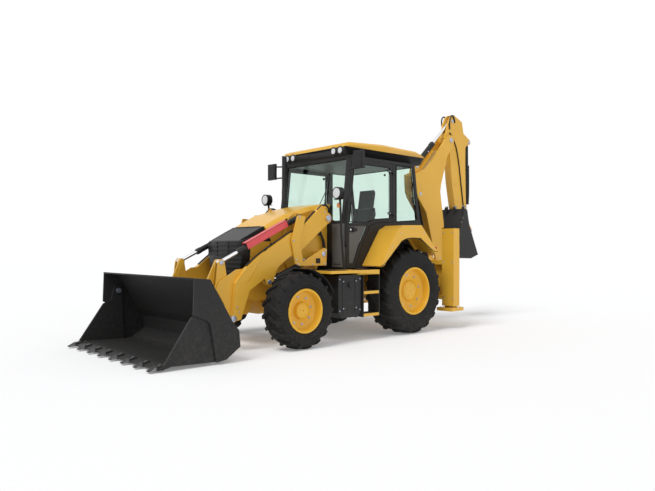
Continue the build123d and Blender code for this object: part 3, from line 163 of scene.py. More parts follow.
def finish(name, colour, rough=0.4, metal=0.0, coat=0.0, edge=(0.3, 0.3, 0.3), edge_part=0.35, dust_part=0.1,
           bump=0.04, grain=260.0, radius=0.006, spread=0.12, dust=(0.33, 0.29, 0.24), shine=0.35):
    """A painted, cast or moulded finish whose wear comes from the shared masks; its edge colour is rubbed wear on
    most finishes and a painted highlight on the tyre rubber.
    """
    made = bpy.data.materials.new(name)
    made.use_nodes = True
    tree = made.node_tree
    shader = tree.nodes["Principled BSDF"]
    masks = add(tree, "ShaderNodeGroup", node_tree=SKIN)
    masks.inputs["Edge Radius"].default_value = radius
    masks.inputs["Grain Scale"].default_value = grain
    dark = [c * (1 - spread) for c in colour]
    light = [min(1.0, c * (1 + spread * 0.6)) for c in colour]
    tone = add(tree, "ShaderNodeMix", {0: masks.outputs["Mottle"], 6: (*dark, 1), 7: (*light, 1)},
               data_type="RGBA")
    dusty = add(tree, "ShaderNodeMath", {0: masks.outputs["Dust"], 1: dust_part}, operation="MULTIPLY")
    tone = add(tree, "ShaderNodeMix", {0: dusty.outputs[0], 6: tone.outputs[2], 7: (*dust, 1)}, data_type="RGBA")
    # Edge colour over the edge mask: rubbed wear on paint and metal, a painted highlight on the lighter rubber
    # edges.
    edge_share = add(tree, "ShaderNodeMath", {0: masks.outputs["Edge"], 1: edge_part}, operation="MULTIPLY")
    tone = add(tree, "ShaderNodeMix", {0: edge_share.outputs[0], 6: tone.outputs[2], 7: (*edge, 1)}, data_type="RGBA")
    rough_at = add(tree, "ShaderNodeMapRange", {0: masks.outputs["Grain"], 1: 0.3, 2: 0.7, 3: rough - 0.06,
                                                4: rough + 0.08})
    ripple = add(tree, "ShaderNodeBump", {"Strength": bump, "Distance": 0.002,
                                          "Height": masks.outputs["Grain"], "Normal": masks.outputs["Normal"]})
    tree.links.new(tone.outputs[2], shader.inputs["Base Color"])
    tree.links.new(rough_at.outputs[0], shader.inputs["Roughness"])
    tree.links.new(ripple.outputs[0], shader.inputs["Normal"])
    shader.inputs["Metallic"].default_value = metal
    shader.inputs["Coat Weight"].default_value = coat
    shader.inputs["Coat Roughness"].default_value = 0.12
    shader.inputs["Specular IOR Level"].default_value = shine
    return made


def clear_glass(name, tint, strength):
    """Tinted safety glass with a faint film of dust."""
    made = bpy.data.materials.new(name)
    made.use_nodes = True
    tree = made.node_tree
    shader = tree.nodes["Principled BSDF"]
    place = add(tree, "ShaderNodeTexCoord")
    film = add(tree, "ShaderNodeTexNoise", {"Vector": place.outputs["Object"], "Scale": 5.0, "Detail": 5.0})
    haze = add(tree, "ShaderNodeMapRange", {0: film.outputs["Fac"], 1: 0.45, 2: 0.8, 3: 0.01, 4: 0.06})
    deep = [1 - (1 - c) * strength for c in tint]
    colour = add(tree, "ShaderNodeMix", {0: film.outputs["Fac"], 6: (*tint, 1), 7: (*deep, 1)}, data_type="RGBA")
    tree.links.new(colour.outputs[2], shader.inputs["Base Color"])
    tree.links.new(haze.outputs[0], shader.inputs["Roughness"])
    shader.inputs["Transmission Weight"].default_value = 1.0
    shader.inputs["IOR"].default_value = 1.3
    return made


def fabric(name, colour, pitch):
    """Woven chair cloth: crossed threads in the object's own coordinates."""
    made = bpy.data.materials.new(name)
    made.use_nodes = True
    tree = made.node_tree
    shader = tree.nodes["Principled BSDF"]
    place = add(tree, "ShaderNodeTexCoord")
    warp = add(tree, "ShaderNodeTexWave", {"Vector": place.outputs["Object"], "Scale": pitch}, bands_direction="Y")
    weft = add(tree, "ShaderNodeTexWave", {"Vector": place.outputs["Object"], "Scale": pitch}, bands_direction="X")
    weave = add(tree, "ShaderNodeMath", {0: warp.outputs["Fac"], 1: weft.outputs["Fac"]}, operation="MULTIPLY")
    rub = add(tree, "ShaderNodeTexNoise", {"Vector": place.outputs["Object"], "Scale": 12.0, "Detail": 5.0})
    both = add(tree, "ShaderNodeMath", {0: weave.outputs[0], 1: rub.outputs["Fac"]}, operation="MULTIPLY")
    light = [min(1.0, c * 2.2) for c in colour]
    tone = add(tree, "ShaderNodeMix", {0: both.outputs[0], 6: (*colour, 1), 7: (*light, 1)}, data_type="RGBA")
    ripple = add(tree, "ShaderNodeBump", {"Strength": 0.35, "Distance": 0.001, "Height": weave.outputs[0]})
    tree.links.new(tone.outputs[2], shader.inputs["Base Color"])
    tree.links.new(ripple.outputs[0], shader.inputs["Normal"])
    shader.inputs["Roughness"].default_value = 0.9
    shader.inputs["Sheen Weight"].default_value = 0.3
    return made


PAINT = finish("yellow_paint", (0.765, 0.425, 0.042), rough=0.36, coat=0.2, edge=(0.62, 0.30, 0.04), edge_part=0.3,
               spread=0.08)
RIM_PAINT = finish("rim_paint", (0.80, 0.44, 0.028), rough=0.38, coat=0.15, edge=(0.5, 0.26, 0.04), spread=0.1)
CHARCOAL = finish("charcoal_paint", (0.018, 0.018, 0.018), rough=0.42, edge=(0.10, 0.10, 0.10),
                  edge_part=0.5, dust_part=0.07, shine=0.25)
BUCKET_BLACK = finish("bucket_black", (0.023, 0.023, 0.023), rough=0.46, edge=(0.14, 0.14, 0.14),
                      edge_part=0.55, dust_part=0.07, shine=0.2, bump=0.10, grain=90.0)
# The light grey edge colour at a large share is a painted highlight on the lug and shoulder edges of the tyres,
# and on every rubber edge that uses this finish.
RUBBER = finish("tyre_rubber", (0.012, 0.012, 0.012), rough=0.72, edge=(0.15, 0.148, 0.145), edge_part=0.9,
                dust_part=0.08, shine=0.2, bump=0.16, grain=180.0, radius=0.007, spread=0.25)
CHROME = finish("chrome_rod", (0.78, 0.79, 0.82), rough=0.13, metal=1.0, edge=(0.5, 0.5, 0.5), edge_part=0.2,
                dust_part=0.05, bump=0.015, grain=420.0, radius=0.002, spread=0.04)
PIN = finish("zinc_pin", (0.46, 0.50, 0.62), rough=0.32, metal=0.85, edge=(0.7, 0.72, 0.78), edge_part=0.4,
             dust_part=0.05, bump=0.03, radius=0.002)
CAST = finish("cast_metal", (0.055, 0.055, 0.058), rough=0.62, metal=0.35, edge=(0.2, 0.2, 0.2),
              dust_part=0.3, bump=0.22, grain=140.0)
PLASTIC = finish("dark_plastic", (0.017, 0.017, 0.017), rough=0.55, edge=(0.10, 0.10, 0.10), dust_part=0.15,
                 shine=0.25, bump=0.12, grain=520.0, radius=0.003)
RED = finish("red_paint", (0.74, 0.085, 0.095), rough=0.4, coat=0.2, edge=(0.4, 0.05, 0.05), spread=0.1)
HOSE = finish("hose_rubber", (0.018, 0.018, 0.019), rough=0.5, edge=(0.05, 0.05, 0.05), dust_part=0.1,
              bump=0.12, grain=700.0, radius=0.002)
STEEL = finish("worn_steel", (0.24, 0.24, 0.25), rough=0.38, metal=0.8, edge=(0.45, 0.45, 0.45),
               dust_part=0.2, bump=0.12, grain=120.0, radius=0.004)
GLASS = clear_glass("cab_glass", (0.84, 0.93, 0.885), 1.5)
LENS = finish("lamp_lens", (0.66, 0.68, 0.70), rough=0.2, coat=0.8, edge=(0.8, 0.8, 0.8), dust_part=0.02,
              bump=0.2, grain=90.0)
GREY_PANEL = finish("grey_panel", (0.115, 0.115, 0.113), rough=0.5, edge=(0.2, 0.2, 0.2), dust_part=0.02,
                    bump=0.05)
CARPET = finish("cab_mat", (0.028, 0.028, 0.03), rough=0.85, edge=(0.05, 0.05, 0.05), bump=0.3, grain=420.0)
AMBER = finish("amber_lens", (0.70, 0.22, 0.02), rough=0.22, coat=0.6, edge=(0.8, 0.3, 0.05), dust_part=0.02)
RED_LENS = finish("red_lens", (0.45, 0.02, 0.02), rough=0.22, coat=0.6, edge=(0.5, 0.05, 0.05), dust_part=0.02)
CLOTH = fabric("chair_cloth", (0.016, 0.016, 0.018), 180.0)

NODE_FINISH = {
    PAINT: ["loader_towers", "hood", "rear_fenders", "steps", "loader_arms", "carriage", "kingpost", "boom",
            "stick", "hoe_link", "hoe_lever", "tilt_levers", "tilt_links", "shift_frame", "left_stabilizer",
            "right_stabilizer", "cab_roof", "rear_axle", "front_axle", "left_knuckle", "right_knuckle",
            "main_frame"],
    RIM_PAINT: ["front_left_rim", "front_right_rim", "rear_left_rim", "rear_right_rim"],
    CHARCOAL: ["grille", "cab_frame", "side_tanks", "exhaust_stack", "left_door", "right_door",
               "lift_barrels", "tilt_barrels", "boom_barrel", "stick_barrel", "hoe_barrel"],
    BUCKET_BLACK: ["loader_bucket", "bucket_jaw", "hoe_bucket"],
    RUBBER: ["front_left_tyre", "front_right_tyre", "rear_left_tyre", "rear_right_tyre"],
    GLASS: ["cab_glass", "left_door_glass", "right_door_glass"],
    CHROME: ["lift_rods", "tilt_rods", "boom_rod", "stick_rod", "hoe_rod"],
    CAST: ["engine_block", "gearbox"],
    PLASTIC: ["work_lamps", "controls", "driver_seat"],
    RED: ["safety_strut"],
}
for material, names in NODE_FINISH.items():
    for name in names:
        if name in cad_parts:
            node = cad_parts[name]
            node.data.materials.clear()
            node.data.materials.append(material)


def piece(name, mesh, body, material, smooth=32, replaces=()):
    """Puts a mesh in the scene as a named piece that moves with a body."""
    made = bpy.data.objects.new(name, mesh)
    bpy.context.collection.objects.link(made)
    if material is not None:
        mesh.materials.clear()
        mesh.materials.append(material)
    for face in mesh.polygons:
        face.use_smooth = True
    mesh.set_sharp_from_angle(angle=radians(smooth))
    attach(made, body)
    if replaces:
        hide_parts(*replaces)
    return made


# Corners of a box run with x slowest and z fastest.
BOX_FACES = ((0, 1, 3, 2), (4, 6, 7, 5), (0, 4, 5, 1), (2, 3, 7, 6), (0, 2, 6, 4), (1, 5, 7, 3))


def belts(rings, sides, closed):
    """Faces between rings of points, and from the last ring to the first when closed."""
    faces = []
    for k in range(rings if closed else rings - 1):
        n = (k + 1) % rings
        for i in range(sides):
            j = (i + 1) % sides
            faces.append((k * sides + i, k * sides + j, n * sides + j, n * sides + i))
    return faces


class Solid:
    """A mesh under construction, made of closed shells given in the drawing's millimetres."""

    def __init__(self):
        self.bm = bmesh.new()

    def shell(self, points, faces):
        verts = [self.bm.verts.new(p) for p in points]
        for face in faces:
            self.bm.faces.new([verts[i] for i in face])
        return self

    def box(self, low, high):
        corners = [(x, y, z) for x in (low[0], high[0]) for y in (low[1], high[1]) for z in (low[2], high[2])]
        return self.shell([at(*c) for c in corners], BOX_FACES)

    def plate(self, outline, y_low, y_high):
        """Flat plate standing along the machine, from its (x, z) outline."""
        count = len(outline)
        points = [at(x, y_low, z) for x, z in outline] + [at(x, y_high, z) for x, z in outline]
        faces = [tuple(range(count)), tuple(range(2 * count - 1, count - 1, -1))]
        faces += [(i, i + count, (i + 1) % count + count, (i + 1) % count) for i in range(count)]
        return self.shell(points, faces)

    def turned(self, start, end, profile, sides=32, ring=False):
        """Turned piece on the line from start to end, from its profile of (distance along, radius).

        A ring's profile closes on itself, and any other's ends are capped.
        """
        first, last = at(*start), at(*end)
        line = (last - first).normalized()
        side = line.orthogonal().normalized()
        up = line.cross(side)
        points = []
        for along, radius in profile:
            for i in range(sides):
                a = 2 * pi * i / sides
                points.append(first + line * (along / 1000) + (side * cos(a) + up * sin(a)) * (radius / 1000))
        faces = belts(len(profile), sides, ring)
        if not ring:
            faces += [range(sides)[::-1], range((len(profile) - 1) * sides, len(profile) * sides)]
        return self.shell(points, faces)

    def rod(self, start, end, radius, sides=24, soft=1.5):
        """Round bar from start to end with softened ends."""
        length = (at(*end) - at(*start)).length * 1000
        profile = [(0, radius - soft), (soft, radius), (length - soft, radius), (length, radius - soft)]
        return self.turned(start, end, profile, sides)

    def wheel_ring(self, profile, centre, sides=96):
        """Closed ring about a cross axle, from its profile of (distance out, radius)."""
        middle = at(*centre)
        points = []
        for out_by, radius in profile:
            for i in range(sides):
                a = 2 * pi * i / sides
                points.append(middle + Vector((radius * sin(a), out_by, radius * cos(a))) / 1000)
        return self.shell(points, belts(len(profile), sides, True))

    def both_sides(self):
        """Adds the mirror image across the machine's middle plane."""
        copy = bmesh.ops.duplicate(self.bm, geom=self.bm.verts[:] + self.bm.edges[:] + self.bm.faces[:])
        verts = [e for e in copy["geom"] if isinstance(e, bmesh.types.BMVert)]
        bmesh.ops.scale(self.bm, vec=(1, -1, 1), verts=verts)
        return self

    def mesh(self, name, soften=0.0):
        """The form as a plain mesh. Softening rounds its sharp edges, and needs the normals of both_sides."""
        if soften:
            sharp = [e for e in self.bm.edges if len(e.link_faces) == 2 and e.calc_face_angle(0) > radians(28)]
            bmesh.ops.bevel(self.bm, geom=sharp, offset=soften / 1000, segments=2, profile=0.7,
                            affect="EDGES", clamp_overlap=True)
        bmesh.ops.recalc_face_normals(self.bm, faces=self.bm.faces)
        made = bpy.data.meshes.new(name)
        self.bm.to_mesh(made)
        self.bm.free()
        return made

    def made(self, material, soften=0.0):
        """The form as a mesh with its material."""
        mesh = self.mesh(material.name, soften)
        mesh.materials.append(material)
        return mesh


def geometry_tree(name, sizes):
    """A geometry tree that takes a mesh and the named sizes, with its input and output nodes."""
    tree = bpy.data.node_groups.new(name, "GeometryNodeTree")
    tree.is_modifier = True
    tree.interface.new_socket("Geometry", in_out="INPUT", socket_type="NodeSocketGeometry")
    for label, kind in sizes:
        tree.interface.new_socket(label, in_out="INPUT", socket_type=kind)
    tree.interface.new_socket("Geometry", in_out="OUTPUT", socket_type="NodeSocketGeometry")
    return tree, add(tree, "NodeGroupInput")


def close_tree(tree, given, geometry):
    real = add(tree, "GeometryNodeRealizeInstances", {"Geometry": geometry})
    coated = add(tree, "GeometryNodeSetMaterial", {"Geometry": real.outputs[0],
                                                   "Material": given.outputs["Material"]})
    add(tree, "NodeGroupOutput", {"Geometry": coated.outputs[0]})
    return tree


def axle_tree():
    """Copies a mesh, drawn about the origin, round a cross axle through a centre."""
    tree, given = geometry_tree("round_the_axle", (("Count", "NodeSocketInt"), ("First Angle", "NodeSocketFloat"),
                                                   ("Centre", "NodeSocketVector"),
                                                   ("Material", "NodeSocketMaterial")))
    points = add(tree, "GeometryNodePoints", {"Count": given.outputs["Count"],
                                              "Position": given.outputs["Centre"]})
    index = add(tree, "GeometryNodeInputIndex")
    step = add(tree, "ShaderNodeMath", {0: 2 * pi, 1: given.outputs["Count"]}, operation="DIVIDE")
    turn = add(tree, "ShaderNodeMath", {0: index.outputs[0], 1: step.outputs[0],
                                        2: given.outputs["First Angle"]}, operation="MULTIPLY_ADD")
    angle = add(tree, "ShaderNodeCombineXYZ", {"Y": turn.outputs[0]})
    copies = add(tree, "GeometryNodeInstanceOnPoints", {"Points": points.outputs[0],
                                                        "Instance": given.outputs["Geometry"],
                                                        "Rotation": angle.outputs[0]})
    return close_tree(tree, given, copies.outputs[0])


def row_tree():
    """Copies a mesh in a row of equal steps."""
    tree, given = geometry_tree("row_of_copies", (("Count", "NodeSocketInt"), ("Step", "NodeSocketVector"),
                                                  ("Material", "NodeSocketMaterial")))
    index = add(tree, "GeometryNodeInputIndex")
    shift = add(tree, "ShaderNodeVectorMath", {0: given.outputs["Step"], "Scale": index.outputs[0]},
                operation="SCALE")
    points = add(tree, "GeometryNodePoints", {"Count": given.outputs["Count"], "Position": shift.outputs[0]})
    copies = add(tree, "GeometryNodeInstanceOnPoints", {"Points": points.outputs[0],
                                                        "Instance": given.outputs["Geometry"]})
    return close_tree(tree, given, copies.outputs[0])


def stud_tree():
    """Sets a fastener at each point of a mesh, turned to its facing and scaled to its size."""
    tree, given = geometry_tree("fasteners", (("Head", "NodeSocketObject"), ("Material", "NodeSocketMaterial")))
    head = add(tree, "GeometryNodeObjectInfo", {"Object": given.outputs["Head"]})
    facing = add(tree, "GeometryNodeInputNamedAttribute", {"Name": "facing"}, data_type="FLOAT_VECTOR")
    size = add(tree, "GeometryNodeInputNamedAttribute", {"Name": "size"}, data_type="FLOAT")
    turn = add(tree, "FunctionNodeAlignEulerToVector", {"Vector": facing.outputs[0]}, axis="Z")
    copies = add(tree, "GeometryNodeInstanceOnPoints", {"Points": given.outputs["Geometry"],
                                                        "Instance": head.outputs["Geometry"],
                                                        "Rotation": turn.outputs[0],
                                                        "Scale": size.outputs[0]})
    return close_tree(tree, given, copies.outputs[0])


ROUND_AXLE = axle_tree()
ROW = row_tree()
STUDS = stud_tree()


def linked(name, data):
    """A new object in the scene that carries a mesh or a curve."""
    carrier = bpy.data.objects.new(name, data)
    bpy.context.collection.objects.link(carrier)
    return carrier


def baked(carrier):
    """The plain mesh that an object's modifiers leave; the object itself goes."""
    graph = bpy.context.evaluated_depsgraph_get()
    made = bpy.data.meshes.new_from_object(carrier.evaluated_get(graph), depsgraph=graph)
    bpy.data.objects.remove(carrier)
    return made


def grown(mesh, tree, values):
    """The plain mesh that a geometry tree makes of a mesh."""
    carrier = linked("carrier", mesh)
    step = carrier.modifiers.new("grow", "NODES")
    step.node_group = tree
    for item in tree.interface.items_tree:
        if item.item_type == "SOCKET" and item.in_out == "INPUT" and item.name in values:
            step[item.identifier] = values[item.name]
    return baked(carrier)


def row_of(solid, count, step, material, soften=0.0):
    """A row of copies of a form, each a step in millimetres from the one before."""
    values = {"Count": count, "Step": Vector(step) / 1000, "Material": material}
    return grown(solid.mesh("row", soften), ROW, values)


def joined(name, meshes):
    """One mesh of several, each with its own materials kept."""
    bm = bmesh.new()
    made = bpy.data.meshes.new(name)
    for mesh in meshes:
        first = len(bm.faces)
        bm.from_mesh(mesh)
        bm.faces.ensure_lookup_table()
        shift = len(made.materials)
        for face in bm.faces[first:]:
            face.material_index += shift
        for material in mesh.materials or [None]:
            made.materials.append(material)
    bm.to_mesh(made)
    bm.free()
    return made


def fit(name, body, meshes, smooth=32, replaces=()):
    """One piece joined from meshes that carry their own finishes."""
    return piece(name, joined(name, meshes), body, None, smooth, replaces)


def head_object(name, profile, sides):
    """A fastener's head about z with its seat at the origin, one millimetre to the unit of size."""
    solid = Solid().turned((MIDDLE * 1000, 0, 0), (MIDDLE * 1000, 0, 1), profile, sides)
    return bpy.data.objects.new(name, solid.mesh(name))


HEX_HEAD = head_object("hex_head", [(-0.5, 1.25), (0.18, 1.25), (0.2, 1.0), (0.72, 1.0), (0.85, 0.86)], 6)
ROUND_HEAD = head_object("pin_head", [(-2.0, 0.97), (0.1, 1.0), (0.22, 0.96), (0.26, 0.86), (0.26, 0.3),
                                      (0.16, 0.24)], 28)


def fasteners(head, material, spots):
    """Mesh of fasteners from (place, facing, radius) in the drawing's millimetres."""
    mesh = bpy.data.meshes.new("spots")
    mesh.from_pydata([at(*place) for place, facing, radius in spots], [], [])
    mesh.attributes.new("facing", "FLOAT_VECTOR", "POINT")
    mesh.attributes.new("size", "FLOAT", "POINT")
    for i, (place, way, radius) in enumerate(spots):
        mesh.attributes["facing"].data[i].vector = way
        mesh.attributes["size"].data[i].value = radius
    return grown(mesh, STUDS, {"Head": head, "Material": material})


def mirrored(spots):
    """Fastener spots with their like ones on the machine's right."""
    return spots + [((p[0], -p[1], p[2]), (f[0], -f[1], f[2]), r) for p, f, r in spots]


def hose(points, radius, material, sides=12):
    """Round hose along a smooth line through the space between the given points."""
    line = bpy.data.curves.new("hose", "CURVE")
    line.dimensions = "3D"
    spline = line.splines.new("NURBS")
    spline.points.add(len(points) - 1)
    for i, place in enumerate(points):
        spline.points[i].co = (*at(*place), 1)
    spline.order_u = 3
    spline.use_endpoint_u = True
    line.resolution_u = 6
    line.bevel_depth = radius / 1000
    line.bevel_resolution = sides // 4
    line.use_fill_caps = True
    mesh = baked(linked("hose", line))
    mesh.materials.clear()
    mesh.materials.append(material)
    return mesh


class Ram:
    """A cylinder's barrel, from its base and its rod's eye as (x, z), its radius, its length and its y."""

    def __init__(self, base, eye, radius, length, y):
        self.base, self.eye, self.radius, self.length, self.y = base, eye, radius, length, y

    def foot(self, y):
        return Vector((self.base[0], y, self.base[1]))

    def way(self):
        return Vector((self.eye[0] - self.base[0], 0, self.eye[1] - self.base[1])).normalized()


LEFT, RIGHT, AHEAD, BEHIND = (0, 1, 0), (0, -1, 0), (1, 0, 0), (-1, 0, 0)
# Outer faces, as distances from the middle plane: hood, doors and their glass, towers, arms, tanks and fenders.
HOOD_Y, DOOR_Y, PANE_Y, TOWER_Y, ARM_Y, TANK_Y, FENDER_Y = 405, 740, 721, 657.5, 625.5, 1050, 1120
# Middle plane of the digging arm on its carriage.
HOE_Y = 200
JAW_TEETH, JAW_TOOTH_Y = 8, 1118
# Where a construction piece changes its finish: reach of a hub's casting, a guard's stay, and three levels.
HUB_REACH, GUARD_STAY_Y, FOOT_TOP, LEDGE_UNDER, ROOF_CAP_UNDER = 300, 770, 300, 934, 2790
LIFT = Ram((1491, 1222), (2420, 860), 42, 860, 590)
TILT = Ram((1823, 1737), (3110, 1126), 38, 1133, 500)
BOOM_RAM = Ram((-1380, 1120), (-1080, 2250), 50, 1095, HOE_Y)
STICK_RAM = Ram((-1070, 2728), (-2094, 3665), 46, 696, HOE_Y)
HOE_RAM = Ram((-2620, 3330), (-2644, 1649), 42, 1180, HOE_Y)

# Share of the half width, drop below the tread in lug heights, sweep share, half-width share.
LUG_ROWS = ((0.00, 0.00, 0.00, 0.80), (0.20, 0.00, 0.17, 0.86), (0.42, 0.03, 0.40, 0.94),
            (0.62, 0.12, 0.60, 1.02), (0.79, 0.32, 0.79, 1.10), (0.91, 0.72, 0.92, 1.18),
            (0.975, 1.40, 0.98, 1.22), (0.985, 2.20, 1.00, 1.18), (0.96, 2.90, 1.00, 1.00))


def lug_mesh(radius, half, height, width, sweep):
    """One curved tread lug, drawn at the top of a wheel about the origin."""
    bm = bmesh.new()
    inset, crown = 3, 0.20
    rows = []
    for lateral, drop, swept, wide in LUG_ROWS:
        top = radius - drop * height
        base = top - height * 1.15
        middle = swept * sweep - width * 0.5
        reach = width * 0.5 * wide
        y = lateral * half - inset
        inward = y - min(6.0, drop * 4)
        section = [(middle - reach * 1.16, inward, base), (middle - reach * 0.96, y, top - height * crown),
                   (middle - reach * 0.82, y, top), (middle + reach * 0.82, y, top),
                   (middle + reach * 0.96, y, top - height * crown), (middle + reach * 1.16, inward, base)]
        turned = []
        for x, across, r in section:
            a = x / radius
            turned.append(bm.verts.new((r * sin(a) / 1000, across / 1000, r * cos(a) / 1000)))
        rows.append(turned)
    for a, b in zip(rows, rows[1:]):
        for i in range(len(a)):
            j = (i + 1) % len(a)
            bm.faces.new((a[i], a[j], b[j], b[i]))
    bm.faces.new(rows[0])
    bm.faces.new(rows[-1][::-1])
    bmesh.ops.recalc_face_normals(bm, faces=bm.faces)
    made = bpy.data.meshes.new("lug")
    bm.to_mesh(made)
    bm.free()
    return made


def flipped(mesh):
    """The mirror image of a mesh across the middle plane."""
    bm = bmesh.new()
    bm.from_mesh(mesh)
    bmesh.ops.scale(bm, vec=(1, -1, 1), verts=bm.verts)
    bmesh.ops.reverse_faces(bm, faces=bm.faces)
    made = bpy.data.meshes.new(mesh.name)
    bm.to_mesh(made)
    bm.free()
    return made


def tyre_profile(radius, half, height, bead_r, flange_r, bead_half):
    """Half of a tyre's closed section from the tread's middle out and down to the bead."""
    base = radius - height
    mid = bead_r + (base - bead_r) * 0.55
    return [(0, base + 1), (half * 0.45, base), (half - 52, base - 6), (half - 26, base - 22),
            (half - 11, base - 52), (half - 4, mid + 34), (half - 2, mid), (half - 4, mid - 20),
            (half - 1, mid - 24), (half - 1, mid - 32), (half - 6, mid - 36), (half - 12, flange_r + 40),
            (half - 15, flange_r + 34), (half - 14, flange_r + 24), (half - 22, flange_r + 14),
            (bead_half + 2, flange_r + 6), (bead_half, bead_r + 1)]


# Radius, width, bead, lug height, lugs, lug width, sweep, flange, rim half, disc, hub out, hub radius.
FRONT = (500, 340, 262, 27, 18, 40, 105, 287, 156, 30, 103, 112)
REAR = (655, 490, 335, 32, 18, 52, 150, 362, 222, 92, 137, 160)
WHEELS = (("front_left", 1, (2200, 947.5, 500), FRONT), ("front_right", -1, (2200, -947.5, 500), FRONT),
          ("rear_left", 1, (0, 862, 655), REAR), ("rear_right", -1, (0, -862, 655), REAR))


def nut_circle(hub, side, count, first, reach, out, size):
    """Fastener spots in a circle on a wheel's outer face."""
    angles = [2 * pi * k / count + first for k in range(count)]
    return [((hub[0] + reach * sin(a), hub[1] + side * out, hub[2] + reach * cos(a)), (0, side, 0), size)
            for a in angles]


def wheel(name, side, hub, sizes):
    radius, width, bead, height, lugs, lug_width, sweep, flange, rim_half, disc, hub_out, hub_r = sizes
    half = width / 2
    near = tyre_profile(radius, half, height, bead, flange, rim_half - 17)
    far = [(-y, r) for y, r in near[::-1]][:-1]
    parts = [Solid().wheel_ring(near + far, hub, 120).made(RUBBER)]
    lug = lug_mesh(radius, half, height, lug_width, sweep)
    for shape, first in ((lug, 0), (flipped(lug), pi / lugs)):
        parts.append(grown(shape if side > 0 else flipped(shape), ROUND_AXLE,
                           {"Count": lugs, "First Angle": first, "Centre": at(*hub), "Material": RUBBER}))
    fit(name + "_tread_tyre", name + "_wheel", parts, 38, [name + "_tyre"])

    seat = rim_half - 16
    barrel = bead - 14
    inner = disc - 14
    outline = [(rim_half, flange - 3), (rim_half - 4, flange), (seat + 3, flange), (seat - 2, flange - 8),
               (seat - 4, bead + 3), (seat - 12, bead), (-seat + 12, bead), (-seat + 4, bead + 3), (-seat, flange),
               (-rim_half, flange - 2), (-rim_half, barrel + 4), (-rim_half + 6, barrel), (inner, barrel),
               (inner - 18, hub_r + 6), (inner - 18, 8), (hub_out, 8), (hub_out, hub_r - 40),
               (hub_out - 5, hub_r - 33), (hub_out - 16, hub_r - 12), (disc + 6, hub_r + 2), (disc, hub_r + 14),
               (disc, barrel - 62), (disc + 5, barrel - 48), (disc + 18, barrel - 12), (disc + 30, barrel - 2),
               (rim_half * 0.62, barrel), (rim_half * 0.72, barrel + 8), (rim_half - 8, barrel + 9),
               (rim_half - 1, barrel + 13)]
    dish = Solid().wheel_ring([(side * y, r) for y, r in outline], hub, 96).made(RIM_PAINT)
    nuts = nut_circle(hub, side, 8, 0.2, (hub_r + barrel) / 2 + 4, disc - 1, 15)
    caps = nut_circle(hub, side, 5, 0, hub_r - 66, hub_out - 1, 8)
    fit(name + "_dish_rim", name + "_wheel",
        [dish, fasteners(HEX_HEAD, PIN, nuts), fasteners(HEX_HEAD, RIM_PAINT, caps)], 30, [name + "_rim"])


def dressed(node, name, body, finishes, choose, smooth=30):
    """A copy of a construction piece whose faces take their finish from their place in the drawing."""
    bm = bmesh.new()
    bm.from_mesh(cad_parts[node].data)
    bmesh.ops.remove_doubles(bm, verts=bm.verts, dist=1e-5)
    for face in bm.faces:
        middle = face.calc_center_median()
        face.material_index = choose((middle.x + MIDDLE) * 1000, middle.y * 1000, middle.z * 1000)
    mesh = bpy.data.meshes.new(name)
    bm.to_mesh(mesh)
    bm.free()
    for material in finishes:
        mesh.materials.append(material)
    return piece(name, mesh, body, None, smooth, [node])


def on_guard(x, y, z):
    """1 on a knuckle's plastic guard and its stay, 0 on the casting by the hub."""
    return 1 if hypot(x - 2200, z - 500) > HUB_REACH or abs(y) < GUARD_STAY_Y and x < 2075 else 0


def on_foot(x, y, z):
    """1 on a stabilizer's foot and its rubber pad, 0 on the leg."""
    return 1 if z < FOOT_TOP else 0


def on_step_side(x, y, z):
    """1 on the dark hangers of the steps, 0 on the ledge and the two treads."""
    tread = 801 < x < 1109 and (z > 650 or z < 390)
    return 1 if z < LEDGE_UNDER and not tread else 0


def on_roof_cap(x, y, z):
    """1 on the painted cap of the roof, 0 on the dark pod below it."""
    return 1 if z > ROOF_CAP_UNDER else 0


def two_finish_pieces():
    """The construction pieces that carry two finishes."""
    for node in ("left_knuckle", "right_knuckle"):
        dressed(node, node + "_and_guard", node, [PAINT, PLASTIC], on_guard)
    dressed("cab_roof", "roof_and_pod", "chassis", [CHARCOAL, PAINT], on_roof_cap)
    dressed("steps", "ledge_and_steps", "chassis", [PAINT, CHARCOAL], on_step_side)
    for word in ("left", "right"):
        dressed(word + "_stabilizer", word + "_leg_and_foot", word + "_stabilizer", [PAINT, RUBBER], on_foot)


def lamp(place, facing, radius, depth):
    """A round lamp as two meshes, its bowl with a bezel and its domed lens, with its face at a place."""
    face = Vector(place)
    way = Vector(facing).normalized()
    bowl = Solid().turned(face - way * depth, face,
                          [(0, radius * 0.45), (depth * 0.25, radius * 0.8), (depth * 0.7, radius),
                           (depth - 4, radius), (depth, radius * 0.97), (depth, radius * 0.86),
                           (depth - 6, radius * 0.84), (depth * 0.55, radius * 0.5),
                           (depth * 0.5, radius * 0.1)], 40)
    lens = Solid().turned(face - way * 7, face,
                          [(0, radius * 0.83), (3, radius * 0.83), (6, radius * 0.6), (8, radius * 0.2)], 40)
    return [bowl.made(CHARCOAL), lens.made(LENS)]


def nose():
    """Grille slats, bars and net, and the seams of the blank nose cap."""
    slat = Solid().box((2610, HOOD_Y + 0.5, 872), (2690, HOOD_Y + 6, 884)).both_sides()
    bars, net = Solid(), Solid()
    for y in (-392, -132, 128, 388):
        bulge = 2702 + 44 * (1 - (y / HOOD_Y) ** 2)
        bars.box((bulge - 20, y - 9, 1205), (bulge + 10, y + 9, 1392))
    for z in range(1212, 1392, 15):
        net.box((2700, -380, z), (2722, 380, z + 4))
    parts = [row_of(slat, 9, (0, 0, 60), PLASTIC, 2.0), bars.made(CHARCOAL), net.made(PLASTIC)]
    fit("grille_bars", "chassis", parts, 30)
    seam = Solid().plate([(2330, 1603), (2690, 1421), (2690, 1417), (2330, 1599)], -356, -350).both_sides()
    seam.box((2330, -300, 1598), (2334, 300, 1606))
    piece("nose_seams", seam.mesh("nose_seams", 0.8), "chassis", RUBBER)


